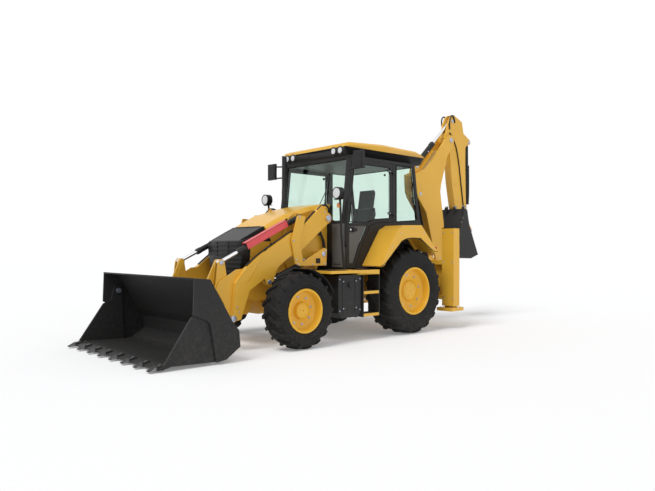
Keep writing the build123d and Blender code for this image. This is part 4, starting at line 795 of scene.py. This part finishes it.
def hood_details():
    """Vents, catches, the blank black band and the rubber lip along the hood."""
    louvre = Solid().plate([(1420, 1560), (1500, 1560), (1500, 1570), (1420, 1574)], HOOD_Y - 1, HOOD_Y + 5)
    catch = Solid().box((2180, HOOD_Y - 2, 1340), (2250, HOOD_Y + 6, 1372))
    catch.box((2196, HOOD_Y + 5, 1348), (2236, HOOD_Y + 13, 1364))
    edge = [(1700, 1790), (1970, 1712), (2200, 1602), (2290, 1549)]
    band = Solid().plate(edge + [(x, z - 66) for x, z in edge[::-1]], HOOD_Y - 0.5, HOOD_Y + 1.2)
    lip = Solid().box((1198, HOOD_Y - 22, 1227), (2305, HOOD_Y + 1.5, 1240))
    fit("hood_vents_and_catches", "hood",
        [row_of(louvre.both_sides(), 7, (0, 0, 32), PLASTIC, 1.5), catch.both_sides().made(PLASTIC, 2.5),
         band.both_sides().made(CHARCOAL), lip.both_sides().made(RUBBER, 2.0)])


def tower_details():
    """Pins, bolts, valve covers and the hoses behind the loader towers."""
    pins = [((1388, 644, 1735), LEFT, 46), ((1823, 526, 1737), LEFT, 30), ((1491, TOWER_Y, 1222), LEFT, 36)]
    spots = ((1936, 1728), (2040, 1408), (1996, 1150), (1962, 1086), (1700, 1082), (1462, 1082), (1452, 1270),
             (1860, 1150))
    bolts = [((x, TOWER_Y, z), LEFT, 11) for x, z in spots]
    cover = Solid().box((1560, TOWER_Y - 0.3, 1095), (1640, TOWER_Y + 5.5, 1165)).both_sides()
    parts = [fasteners(ROUND_HEAD, PIN, mirrored(pins)), fasteners(HEX_HEAD, PIN, mirrored(bolts)),
             cover.made(PLASTIC, 3.0)]
    for side in (1, -1):
        for k, (high, low) in enumerate(((1690, 1290), (1640, 1240), (1600, 1190))):
            y = side * (480 + k * 26)
            parts.append(hose([(1330, y, 1040), (1335, y, low), (1370, y, high - 160), (1450, y, high - 90),
                               (1600, y, high - 80), (1740, side * (478 + k * 8), high - 40)], 12, HOSE))
    fit("tower_pins_and_hoses", "chassis", parts, 34)


def arm_details():
    """Pins, bolts, pipes on the ridge and hose loops of the loader arms, and the pins of lever and link."""
    pins = [((2981, ARM_Y, 421), LEFT, 40), ((2420, ARM_Y, 860), LEFT, 34)]
    bolts = [((x, ARM_Y, z), LEFT, 9) for x, z in ((1440, 1820), (1352, 1690), (2930, 560), (2900, 500))]
    clamps = Solid().plate([(1990, 1524), (2030, 1512), (2034, 1526), (1994, 1540)], 562, 604)
    clamps.plate([(2440, 1282), (2476, 1262), (2482, 1276), (2446, 1298)], 562, 604)
    weld = Solid().plate([(2560, 1170), (2590, 1172), (2770, 900), (2756, 890)], ARM_Y - 0.3, ARM_Y + 3.5)
    parts = [fasteners(ROUND_HEAD, PIN, mirrored(pins)), fasteners(HEX_HEAD, PIN, mirrored(bolts)),
             clamps.both_sides().made(PLASTIC, 3.0), weld.both_sides().made(PAINT, 1.2)]
    ridge = [(1600, 1828), (1700, 1740), (1866, 1596), (1960, 1556), (2062, 1523), (2160, 1466), (2400, 1330),
             (2580, 1226), (2700, 1136), (2770, 1080)]
    parts += [hose([(x, y, z) for x, z in ridge], 7, CHARCOAL) for y in (574, 592, -574, -592)]
    for side in (1, -1):
        parts.append(hose([(1560, side * 600, 1846), (1500, side * 602, 1908), (1420, side * 604, 1925),
                           (1350, side * 604, 1896), (1338, side * 600, 1846)], 15, HOSE))
    fit("arm_pins_and_lines", "loader_arms", parts, 34)
    lever_pins = [((3110, 540.5, 1126), LEFT, 30), ((3110, 474, 1126), RIGHT, 26)]
    piece("lever_pins", fasteners(ROUND_HEAD, PIN, mirrored(lever_pins)), "tilt_levers", None, 34)
    link_pins = [((3288, 452.5, 759), LEFT, 28)]
    piece("link_pins", fasteners(ROUND_HEAD, PIN, mirrored(link_pins)), "tilt_links", None, 34)


def gland(ram, y, wide, proud):
    """The ring at the open end of a cylinder's barrel."""
    foot, way = ram.foot(y), ram.way()
    r = ram.radius
    profile = [(0, r - 2), (0, r + 0.5), (2, r + proud), (wide - 6, r + proud), (wide, r + 1), (wide, r - 2)]
    return Solid().turned(foot + way * (ram.length - wide - 4), foot + way * (ram.length - 2), profile, 32,
                          True).made(CHARCOAL)


def loader_glands():
    for ram, name, body in ((LIFT, "lift_barrel_collars", "lift_barrels"),
                            (TILT, "tilt_barrel_collars", "tilt_barrels")):
        fit(name, body, [gland(ram, side * ram.y, 66, 4) for side in (1, -1)], 34)


def safety_strut():
    """Red channel of the stowed safety strut, hung over the left tilt cylinder, with its latch and bands."""
    foot, way = TILT.foot(TILT.y), TILT.way()
    up = Vector((-way.z, 0, way.x))
    above = TILT.radius + 6
    channel = Solid()

    def plank(lifts, shifts):
        channel.shell([at(*(foot + way * reach + up * (above + lift) + Vector((0, shift, 0))))
                       for reach in (250, 985) for lift in lifts for shift in shifts], BOX_FACES)

    for side in (-1, 1):
        plank((-72, 20), (side * 41, side * 44.5))
    plank((14, 20), (-44.5, 44.5))
    latch_at = foot + way * 900 + up * 40
    latch = Solid().rod(latch_at - Vector((0, 47, 0)), latch_at + Vector((0, 47, 0)), 9, 16)
    bands = Solid()
    for reach in (300, 880):
        start = foot + way * reach
        bands.turned(start, start + way * 22, [(0, 39), (2, 40.5), (20, 40.5), (22, 39)], 32)
    fit("strut_channel", "tilt_barrels", [channel.made(RED), latch.made(RED), bands.made(RED)], 30,
        ["safety_strut"])


def bucket_details():
    """Side pins, top wear strip and skid strips of the bucket; bolts and tooth tips of its jaw."""
    pins = [((3687, 1194.0, 720), LEFT, 34), ((3133, 604.5, 348), LEFT, 28)]
    wear = Solid().plate([(3866, 968), (3884, 980), (3884, 972), (3872, 962)], -1190, 1190)
    skids = Solid()
    for y in (-900, -450, 0, 450, 900):
        skids.plate([(3270, 176), (3460, 42), (3475, 30), (3455, 34), (3262, 170)], y - 40, y + 40)
    fit("bucket_pins_and_wear", "loader_bucket",
        [fasteners(ROUND_HEAD, PIN, mirrored(pins)), wear.made(BUCKET_BLACK), skids.made(STEEL)], 34)
    bolts, tips = [], Solid()
    for k in range(JAW_TEETH):
        y = JAW_TOOTH_Y * (2 * k / (JAW_TEETH - 1) - 1)
        bolts += [((4226, y - 18, 74), (0.1, 0, 1), 8), ((4262, y + 18, 70), (0.1, 0, 1), 8)]
        tips.plate([(4290, 22.5), (4370, 19), (4373, 24), (4300, 62)], y - 37.5, y + 37.5)
    bolts += mirrored([((4150, 1140.63, 66), (0.15, 0, 1), 9)])
    fit("cutting_edge_bolts_and_tips", "bucket_jaw",
        [fasteners(HEX_HEAD, STEEL, bolts), tips.made(STEEL)], 30)


def seal(corners, radius=8):
    """Rubber seal in straight runs round a pane, closed from its last corner to its first."""
    solid = Solid()
    for start, end in zip(corners, corners[1:] + corners[:1]):
        solid.rod(start, end, radius, 8, 0.5)
    return solid.made(RUBBER)


def cab_shell_details():
    """Mirror faces, wipers, grab rails, post covers, gutters and pane seals of the cab."""
    mirror = Solid().box((1107, 918, 2442), (1111.5, 1082, 2678)).both_sides()
    back = Solid().box((1149.5, 930, 2455), (1155, 1070, 2665)).both_sides()
    front_hub = Solid().rod((1163, 0, 1712), (1172, 0, 1712), 22)
    blade = Solid().plate([(1160, 1800), (1168, 1800), (1098, 2420), (1090, 2420)], 292, 304)
    rear_hub = Solid().rod((-530, 0, 2560), (-512, 0, 2560), 20)
    covers = Solid().box((1164, 512, 1030), (1196, 742, 1660)).box((1190, 542, 1080), (1206, 712, 1600))
    gutter = Solid().plate([(1100, 2604), (1070, 2658), (-410, 2658), (-400, 2618)], 733, 742)
    parts = [mirror.made(CHROME), back.made(PLASTIC), front_hub.made(PLASTIC),
             hose([(1168, 0, 1712), (1152, 120, 1850), (1122, 300, 2160)], 6, PLASTIC), blade.made(RUBBER),
             rear_hub.made(PLASTIC)]
    for side in (1, -1):
        y = side * 768
        parts.append(hose([(1130, side * 744, 1330), (1165, y, 1340), (1170, y, 1500), (1150, y, 1690),
                           (1100, y, 1985), (1078, side * 744, 2000)], 11, PLASTIC))
    parts += [covers.both_sides().made(GREY_PANEL), gutter.both_sides().made(CHARCOAL)]
    fit("mirror_faces_wipers_and_rails", "chassis", parts, 34)

    rear_quarter = ((34, 1720), (34, 2602), (-354, 2602), (-474, 1755))
    seals = [seal([(x, side * 741.5, z) for x, z in rear_quarter]) for side in (1, -1)]
    seals.append(seal([(-530, -690, 1752), (-530, 690, 1752), (-384, 690, 2604), (-384, -690, 2604)]))
    seals.append(seal([(1157, -690, 1700), (1157, 690, 1700), (1050, 690, 2602), (1050, -690, 2602)]))
    fit("pane_seals", "chassis", seals, 34)


def roof_details():
    """Front and rear work lamps in the roof, their panel, the roof's ribs, vents and beacon foot."""
    parts, panel, ribs = [], Solid(), Solid()
    for y in (470, 610, -470, -610):
        parts += lamp((1134, y, 2735), AHEAD, 62, 40)
        panel.box((1086, y - 66, 2668), (1096, y + 66, 2790))
    for y in (600, -600):
        parts += lamp((-702, y, 2735), BEHIND, 55, 36)
    for y in (-420, -140, 140, 420):
        ribs.plate([(-430, 2881), (300, 2899), (860, 2872), (860, 2868), (300, 2894), (-430, 2876)],
                   y - 30, y + 30)
    vent = Solid().box((-698, -300, 2700), (-690, 300, 2712))
    beacon = Solid().turned((-420, -500, 2870), (-420, -500, 2892), [(0, 60), (16, 60), (20, 52)], 32)
    parts += [panel.made(PLASTIC), ribs.made(PAINT), row_of(vent, 4, (0, 0, 18), PLASTIC),
              beacon.made(PLASTIC)]
    fit("roof_lamps_and_ribs", "chassis", parts, 30)


def door_details(side, name):
    """Crossbar, seal, grip, lock and hinge straps of a door."""
    y = side * DOOR_Y
    crossbar = Solid().plate([(534, 1694), (676, 1646), (1066, 1626), (1066, 1664), (686, 1684), (540, 1732)],
                             y - side * 24, y + side * 5)
    ring = [(1060, 1690), (962, 2548), (178, 2548), (178, 1768), (528, 1742), (676, 1690)]
    grip, straps = Solid(), Solid()
    for z in (1552, 1584):
        grip.box((926, y + side * 22, z), (1014, y + side * 33, z + 14))
    lock = Solid().rod((1040, y - side * 2, 1575), (1040, y + side * 8, 1575), 14)
    for z in (1830, 2480):
        straps.box((132, y - side, z - 4), (236, y + side * 6, z + 34))
    bolts = [((x, y + side * 6, z), (0, side, 0), 7) for z in (1845, 2495) for x in (176, 216)]
    fit(name + "_fittings", name,
        [crossbar.made(CHARCOAL), seal([(x, y, z) for x, z in ring], 7), grip.made(PLASTIC),
         lock.made(CHROME), straps.made(CHARCOAL), fasteners(HEX_HEAD, PIN, bolts)])


def lower_pane(side, name, door):
    """The dark lower pane of a door, fitted over the bottom of its glass."""
    pane = Solid().plate([(978, 1083), (1063, 1083), (1060, 1640), (700, 1660), (872, 1334)],
                         side * (PANE_Y - 4.5), side * (PANE_Y + 4.5))
    piece(name, pane.mesh(name), door, GREY_PANEL)


def cab_inside():
    """Small parts of the console and the wheel, the pedals, the floor mat and the head lining."""
    hub = Solid().turned((850, 0, 1640), (838, 0, 1686), [(0, 52), (20, 50), (34, 40), (40, 12)], 32)
    knob = Solid().turned((838, 150, 1688), (832, 152, 1742),
                          [(-30, 8), (6, 9), (14, 22), (34, 25), (48, 18), (54, 4)], 24)
    dash = Solid().plate([(1000, 1290), (1132, 1290), (1132, 1560), (1080, 1600), (985, 1520)], -190, 190)
    dials, pedals, tops, keys = Solid(), Solid(), Solid(), Solid()
    for y in (-110, 0, 110):
        dials.turned((1020, y, 1552), (1015, y, 1558), [(0, 36), (5, 36), (7, 31)], 28)
    for y in (-170, 130, 200):
        pedals.plate([(1000, 1040), (1060, 1120), (1052, 1126), (992, 1046)], y - 32, y + 32)
    for x, z in ((640, 1680), (505, 1650)):
        tops.turned((x, -520, z - 6), (x + 2, -520, z + 56), [(0, 15), (14, 25), (44, 27), (58, 18), (62, 4)], 24)
    for x in range(330, 470, 34):
        for y in (-545, -505, -465):
            keys.box((x, y - 12, 1490), (x + 24, y + 12, 1499))
    mat = Solid().box((170, -415, 1000.5), (960, 590, 1008))
    lid = Solid().box((296, -579, 1470), (764, -416, 1492))
    lining = Solid().box((-330, -690, 2604), (1000, 690, 2612))
    fit("cab_controls_and_trim", "chassis",
        [hub.made(PLASTIC), knob.made(PLASTIC),
         hose([(905, 60, 1560), (890, 150, 1585), (880, 220, 1600)], 7, PLASTIC),
         dash.made(PLASTIC), dials.made(CHROME), pedals.made(CHARCOAL), mat.made(CARPET),
         tops.made(PLASTIC), lid.made(PLASTIC), keys.made(GREY_PANEL), lining.made(GREY_PANEL)])


def cushion(form, half_width, voxel=0.006, frames=20, swell=0.022, channel_y=0.120, channel_half=0.012,
            channel_deep=0.006):
    """Chair pad that swells under cloth from a closed form, then takes two sewn channels."""
    pad = linked("pad", Solid().plate(form, -half_width, half_width).mesh("pad"))
    voxels = pad.modifiers.new("even", "REMESH")
    voxels.mode = "VOXEL"
    voxels.voxel_size = voxel
    plain = baked(pad)
    made = plain
    pad = linked("pad", plain.copy())
    cloth = pad.modifiers.new("swell", "CLOTH")
    cloth.settings.use_pressure = True
    cloth.settings.uniform_pressure_force = 4.0
    cloth.settings.effector_weights.gravity = 0.0
    cloth.settings.quality = 4
    cloth.point_cache.frame_start = 1
    cloth.point_cache.frame_end = frames
    for moment in range(1, frames + 1):
        bpy.context.scene.frame_set(moment)
    made = baked(pad)
    bpy.context.scene.frame_set(1)
    for start, end in zip(plain.vertices, made.vertices):
        moved = end.co - start.co
        if moved.length > swell:
            end.co = start.co + moved.normalized() * swell
    for point in made.vertices:
        gap = abs(abs(point.co.y) - channel_y) / channel_half
        if gap < 1:
            point.co -= point.normal * (channel_deep * (1 - gap * gap))
    made.materials.clear()
    made.materials.append(CLOTH)
    return made


def seat():
    """Padded chair over the construction chair, with its base, arm rests and belt, and its head rest."""
    pads = [cushion([(30, 1262), (34, 1330), (100, 1372), (480, 1392), (512, 1340), (490, 1262)], 236),
            cushion([(34, 1352), (-72, 1860), (-50, 1978), (10, 1978), (96, 1410), (112, 1352)], 216)]
    base = Solid().box((60, -180, 1000.5), (420, 180, 1040)).box((100, -140, 1040), (380, 140, 1215))
    base.box((40, -225, 1215), (470, 225, 1262))
    bellows = Solid()
    for z in range(1052, 1181, 32):
        bellows.box((92, -148, z), (388, 148, z + 14))
    rests = Solid().box((70, 256, 1522), (378, 320, 1568)).box((74, 262, 1382), (128, 314, 1524)).both_sides()
    belt = Solid().plate([(120, 1376), (160, 1379), (160, 1384), (120, 1381)], -236, 236)
    head = Solid().plate([(-70, 1930), (-122, 2215), (-102, 2262), (-66, 2262), (-8, 1930)], -150, 150)
    piece("head_rest", head.made(CLOTH), "chassis", None, 50)
    made = fit("padded_chair", "chassis",
               pads + [base.made(PLASTIC), bellows.made(RUBBER), rests.made(PLASTIC),
                       belt.made(RED)], 50, ["driver_seat"])


def stalk_lamp_details():
    """Faces, yokes and amber markers of the two lamps on stalks ahead of the cab."""
    parts = []
    for y in (830, -830):
        parts += lamp((1414, y, 2080), AHEAD, 85, 44)
        yoke = Solid().box((1332, y - 100, 2040), (1360, y - 88, 2092))
        yoke.box((1332, y + 88, 2040), (1360, y + 100, 2092)).box((1332, y - 100, 1990), (1360, y + 100, 2000))
        parts.append(yoke.made(PLASTIC))
    for y in (805, -805):
        parts.append(Solid().box((1325, y - 28, 1880), (1347, y + 28, 1945)).made(AMBER))
    fit("lamp_faces", "chassis", parts)


def tank_details():
    """Straps, filler cap, battery lid with its catch, and bolts of the side tanks."""
    straps = Solid()
    for x in (1226, 1470):
        straps.box((x, TANK_Y - 4, 430), (x + 36, TANK_Y + 5, 905)).box((x, 700, 345), (x + 36, TANK_Y + 5, 352))
    cap = Solid().turned((1360, 1044, 800), (1360, 1084, 800),
                         [(0, 46), (8, 46), (10, 38), (34, 38), (38, 32)], 32)
    lid = Solid().box((1262, -1057, 470), (1462, -1050, 760))
    catch = Solid().box((1340, -1064, 740), (1384, -1056, 776))
    bolts = [((x, TANK_Y, z), LEFT, 8) for x in (1165, 1555) for z in (450, 880)]
    strap_bolts = [((x, TANK_Y + 5, z), LEFT, 8) for x in (1244, 1488) for z in (480, 850)]
    fit("tank_straps_and_caps", "chassis",
        [straps.both_sides().made(CHARCOAL), cap.made(PLASTIC), lid.made(PLASTIC),
         catch.made(CHROME),
         fasteners(HEX_HEAD, PIN, mirrored(bolts)), fasteners(HEX_HEAD, PIN, mirrored(strap_bolts))])


def step_grips():
    """Grip strips on the two treads and on the ledge."""
    grip, strip = Solid(), Solid()
    for z, far in ((700, 1110), (385, 1110), (1000, 1190)):
        for y in range(885, 1046, 40):
            grip.box((800, y, z - 1), (far, y + 14, z + 4))
    for x in range(1400, 1740, 60):
        strip.box((x, 500, 999), (x + 24, 1060, 1004))
    fit("step_grips", "chassis", [grip.both_sides().made(PLASTIC), strip.both_sides().made(PLASTIC)], 30)


def fender_details():
    """Rubber edges, bolts and tail lamps of the rear fenders."""
    edge = [(800, 1050), (740, 1050), (350, 1415), (200, 1460), (-100, 1465), (-460, 1220), (-510, 1260)]
    spots = ((560, 1330), (350, 1530), (100, 1600), (-180, 1550), (-400, 1310))
    lights = Solid().box((-530, 985, 1286), (-505, 1095, 1330)).both_sides()
    parts = [hose([(x, side * (FENDER_Y - 4), z) for x, z in edge], 7, RUBBER, 8) for side in (1, -1)]
    parts += [fasteners(HEX_HEAD, PIN, mirrored([((x, FENDER_Y, z), LEFT, 8) for x, z in spots])),
              lights.made(RED_LENS)]
    fit("fender_edges_and_lamps", "chassis", parts)


def stack_shield():
    """Heat shield with its slots, and the clamp, round the exhaust stack."""
    x, y, reach = 1272, -505, 40
    shield = Solid().turned((x, y, 1500), (x, y, 2250), [(0, 38.5), (3, reach), (747, reach), (750, 38.5)], 40)
    slots = Solid()
    for z in range(1560, 2220, 60):
        for k in range(10):
            out_x, out_y = x + reach * cos(pi * k / 5), y + reach * sin(pi * k / 5)
            slots.box((out_x - 1.2, out_y - 1.2, z), (out_x + 1.2, out_y + 1.2, z + 34))
    clamp = Solid().turned((x, y, 1420), (x, y, 1450), [(0, 40), (3, 42), (27, 42), (30, 40)], 32)
    fit("stack_shield", "chassis", [shield.made(CHARCOAL), slots.made(CAST), clamp.made(STEEL)], 30)


def shift_frame_details():
    """Bolts, slide strips, marker lamps and leg caps of the rear frame."""
    parts = []
    for side in (1, -1):
        bolts = [((-863.5, side * y, z), AHEAD, 10) for y in (975, 1155) for z in (500, 1080, 1560)]
        parts.append(fasteners(HEX_HEAD, PIN, bolts))
    parts.append(fasteners(HEX_HEAD, PIN, mirrored([((-1024, 922, z), BEHIND, 9) for z in (510, 1077)])))
    strips = Solid().box((-1024, -940, 1062), (-1020.2, 940, 1092)).box((-1024, -940, 490), (-1020.2, 940, 530))
    plate_back = Solid().box((-1086, 1010, 1180), (-1080.3, 1110, 1290))
    tails = Solid().box((-1094, 1018, 1200), (-1080.3, 1056, 1270)).both_sides()
    caps = Solid().box((-1021, 944, 1628), (-863, 1177, 1640)).both_sides()
    fit("shift_frame_fittings", "chassis",
        parts + [strips.made(STEEL), plate_back.made(PLASTIC), tails.made(RED_LENS),
                 caps.made(CHARCOAL)], 30)


def about_arm(spots):
    """Fastener spots on both sides of the digging arm, from (x, distance from its middle, z, radius)."""
    return [((x, HOE_Y + side * out, z), (0, side, 0), radius) for side in (1, -1) for x, out, z, radius in spots]


def carriage_details():
    """Bolts, swing pin caps and hoses of the sliding carriage, and the pins of the boom's foot."""
    bolts = [((-1065.5, HOE_Y + y, z), BEHIND, 13) for y in (-235, 235) for z in (520, 680, 860, 1060)]
    caps = [((-1420, HOE_Y, 998), (0, 0, 1), 60), ((-1420, HOE_Y, 560), (0, 0, -1), 60)]
    parts = [fasteners(HEX_HEAD, PIN, bolts), fasteners(ROUND_HEAD, PIN, caps)]
    for y in range(120, 277, 52):
        parts.append(hose([(-1060, y, 1080), (-1120, y, 1130), (-1180, y, 1090), (-1190, y, 1020)], 13, HOSE))
    fit("carriage_bolts_and_hoses", "carriage", parts)
    piece("boom_foot_pins", fasteners(ROUND_HEAD, PIN, about_arm([(-1620, 130.2, 800, 30)])), "boom", None, 32)


def boom_details():
    """Pins, bolts, pipes and clamps of the boom."""
    pins = [(-1966, 130, 3288, 44), (-1080, 130, 2250, 30), (-1070, 61.3, 2728, 26)]
    spots = ((-1640, 1120), (-1560, 1120), (-1600, 1000), (-1690, 1000), (-1560, 980))
    bolts = [(x, 130, z, 9) for x, z in spots]
    route = [(-1735, 1320), (-1762, 1480), (-1762, 1730), (-1715, 2000), (-1650, 2330), (-1682, 2480),
             (-1760, 2720), (-1862, 2968), (-1900, 3010)]
    clamps = Solid()
    for x, z in ((-1760, 1600), (-1700, 2080)):
        clamps.box((x - 14, HOE_Y - 45, z), (x + 26, HOE_Y + 45, z + 34))
    parts = [fasteners(ROUND_HEAD, PIN, about_arm(pins)), fasteners(HEX_HEAD, PIN, about_arm(bolts))]
    parts += [hose([(x, y, z) for x, z in route], 8, CHARCOAL) for y in (170, 190, 210, 230)]
    fit("boom_pins_and_lines", "boom", parts + [clamps.made(PLASTIC)])


def stick_details():
    """Pins, pipes, hose loops and weld bands of the stick, and the pins of the lever at its end."""
    pins = [(-2094, 70, 3665, 34), (-2620, 70, 3330, 30), (-2520, 104.7, 1460, 30)]
    route = [(-1990, 3440), (-2150, 3300), (-2260, 3000), (-2330, 2600), (-2400, 2200), (-2440, 1980)]
    parts = [fasteners(ROUND_HEAD, PIN, about_arm(pins))]
    parts += [hose([(x, y, z) for x, z in route], 7, CHARCOAL) for y in (272, 286)]
    bands = Solid()
    for side in (1, -1):
        loop = [(-2000, 75, 3500), (-1960, 95, 3640), (-2020, 98, 3770), (-2120, 88, 3750), (-2160, 76, 3640)]
        parts.append(hose([(x, HOE_Y + side * out, z) for x, out, z in loop], 13, HOSE))
        for outline in ([(-2120, 2500), (-2240, 2480), (-2244, 2500), (-2124, 2520)],
                        [(-2160, 2200), (-2380, 2160), (-2384, 2180), (-2164, 2220)]):
            bands.plate(outline, HOE_Y + side * 70, HOE_Y + side * 73)
    fit("stick_pins_and_lines", "stick", parts + [bands.made(PAINT)])
    pins = [(-2495, 95.3, 1819, 28), (-2644, 95.3, 1649, 26)]
    piece("hoe_lever_pins", fasteners(ROUND_HEAD, PIN, about_arm(pins)), "hoe_lever", None, 32)


def hoe_bucket_details():
    """Pins, side bolts, wear strips and tooth tips of the digging bucket."""
    pins = [(-2520, 130, 1460, 40), (-2639, 130, 1285, 30)]
    bolts = [(-2030, 310, 1780, 10), (-2080, 310, 1860, 10), (-1960, 310, 1560, 10)]
    wear, tips = Solid(), Solid()
    for y in (60, 200, 340):
        wear.plate([(-1936, 1500), (-1924, 1420), (-1932, 1330), (-1990, 1212), (-1984, 1206), (-1926, 1330),
                    (-1918, 1420), (-1930, 1502)], y - 30, y + 30)
    for y in (-85, 105, 295, 485):
        tips.plate([(-2108, 2058), (-2130, 2092), (-2144, 2092), (-2156, 2040), (-2130, 2026)], y - 26, y + 26)
    fit("hoe_bucket_pins_and_tips", "hoe_bucket",
        [fasteners(ROUND_HEAD, PIN, about_arm(pins)), fasteners(HEX_HEAD, STEEL, about_arm(bolts)),
         wear.made(BUCKET_BLACK), tips.made(STEEL)])


def digging_cylinders():
    """Gland ring, port and pipe of each cylinder of the digging arm."""
    for ram, body in ((BOOM_RAM, "boom_barrel"), (STICK_RAM, "stick_barrel"), (HOE_RAM, "hoe_barrel")):
        foot, way, r = ram.foot(HOE_Y), ram.way(), ram.radius

        def beside(reach, out):
            return foot + way * reach + Vector((0, r + out, 0))

        port = Solid().turned(beside(440, -8), beside(440, 24), [(0, 14), (26, 14), (30, 11)], 20)
        pipe = hose([beside(440, 18), beside(490, 20), beside(ram.length - 140, 14),
                     beside(ram.length - 60, 4)], 8, CHARCOAL)
        fit(body + "_fittings", body, [gland(ram, HOE_Y, 68, 5), port.made(PIN), pipe], 34)


def foot_bolts():
    for side, body in ((1, "left_stabilizer"), (-1, "right_stabilizer")):
        bolts = [((x, side * 1028 + dy, 345), (0, 0, 1), 10) for x in (-1100, -850) for dy in (-100, 100)]
        piece(body + "_bolts", fasteners(HEX_HEAD, PIN, bolts), body, None, 30)


for row in WHEELS:
    wheel(*row)
two_finish_pieces()
nose()
hood_details()
tower_details()
arm_details()
loader_glands()
safety_strut()
bucket_details()
cab_shell_details()
roof_details()
door_details(1, "left_door")
door_details(-1, "right_door")
lower_pane(1, "left_lower_pane", "left_door")
lower_pane(-1, "right_lower_pane", "right_door")
cab_inside()
seat()
stalk_lamp_details()
tank_details()
step_grips()
fender_details()
stack_shield()
shift_frame_details()
carriage_details()
boom_details()
stick_details()
hoe_bucket_details()
digging_cylinders()
foot_bolts()

for head in (HEX_HEAD, ROUND_HEAD):
    bpy.data.objects.remove(head)
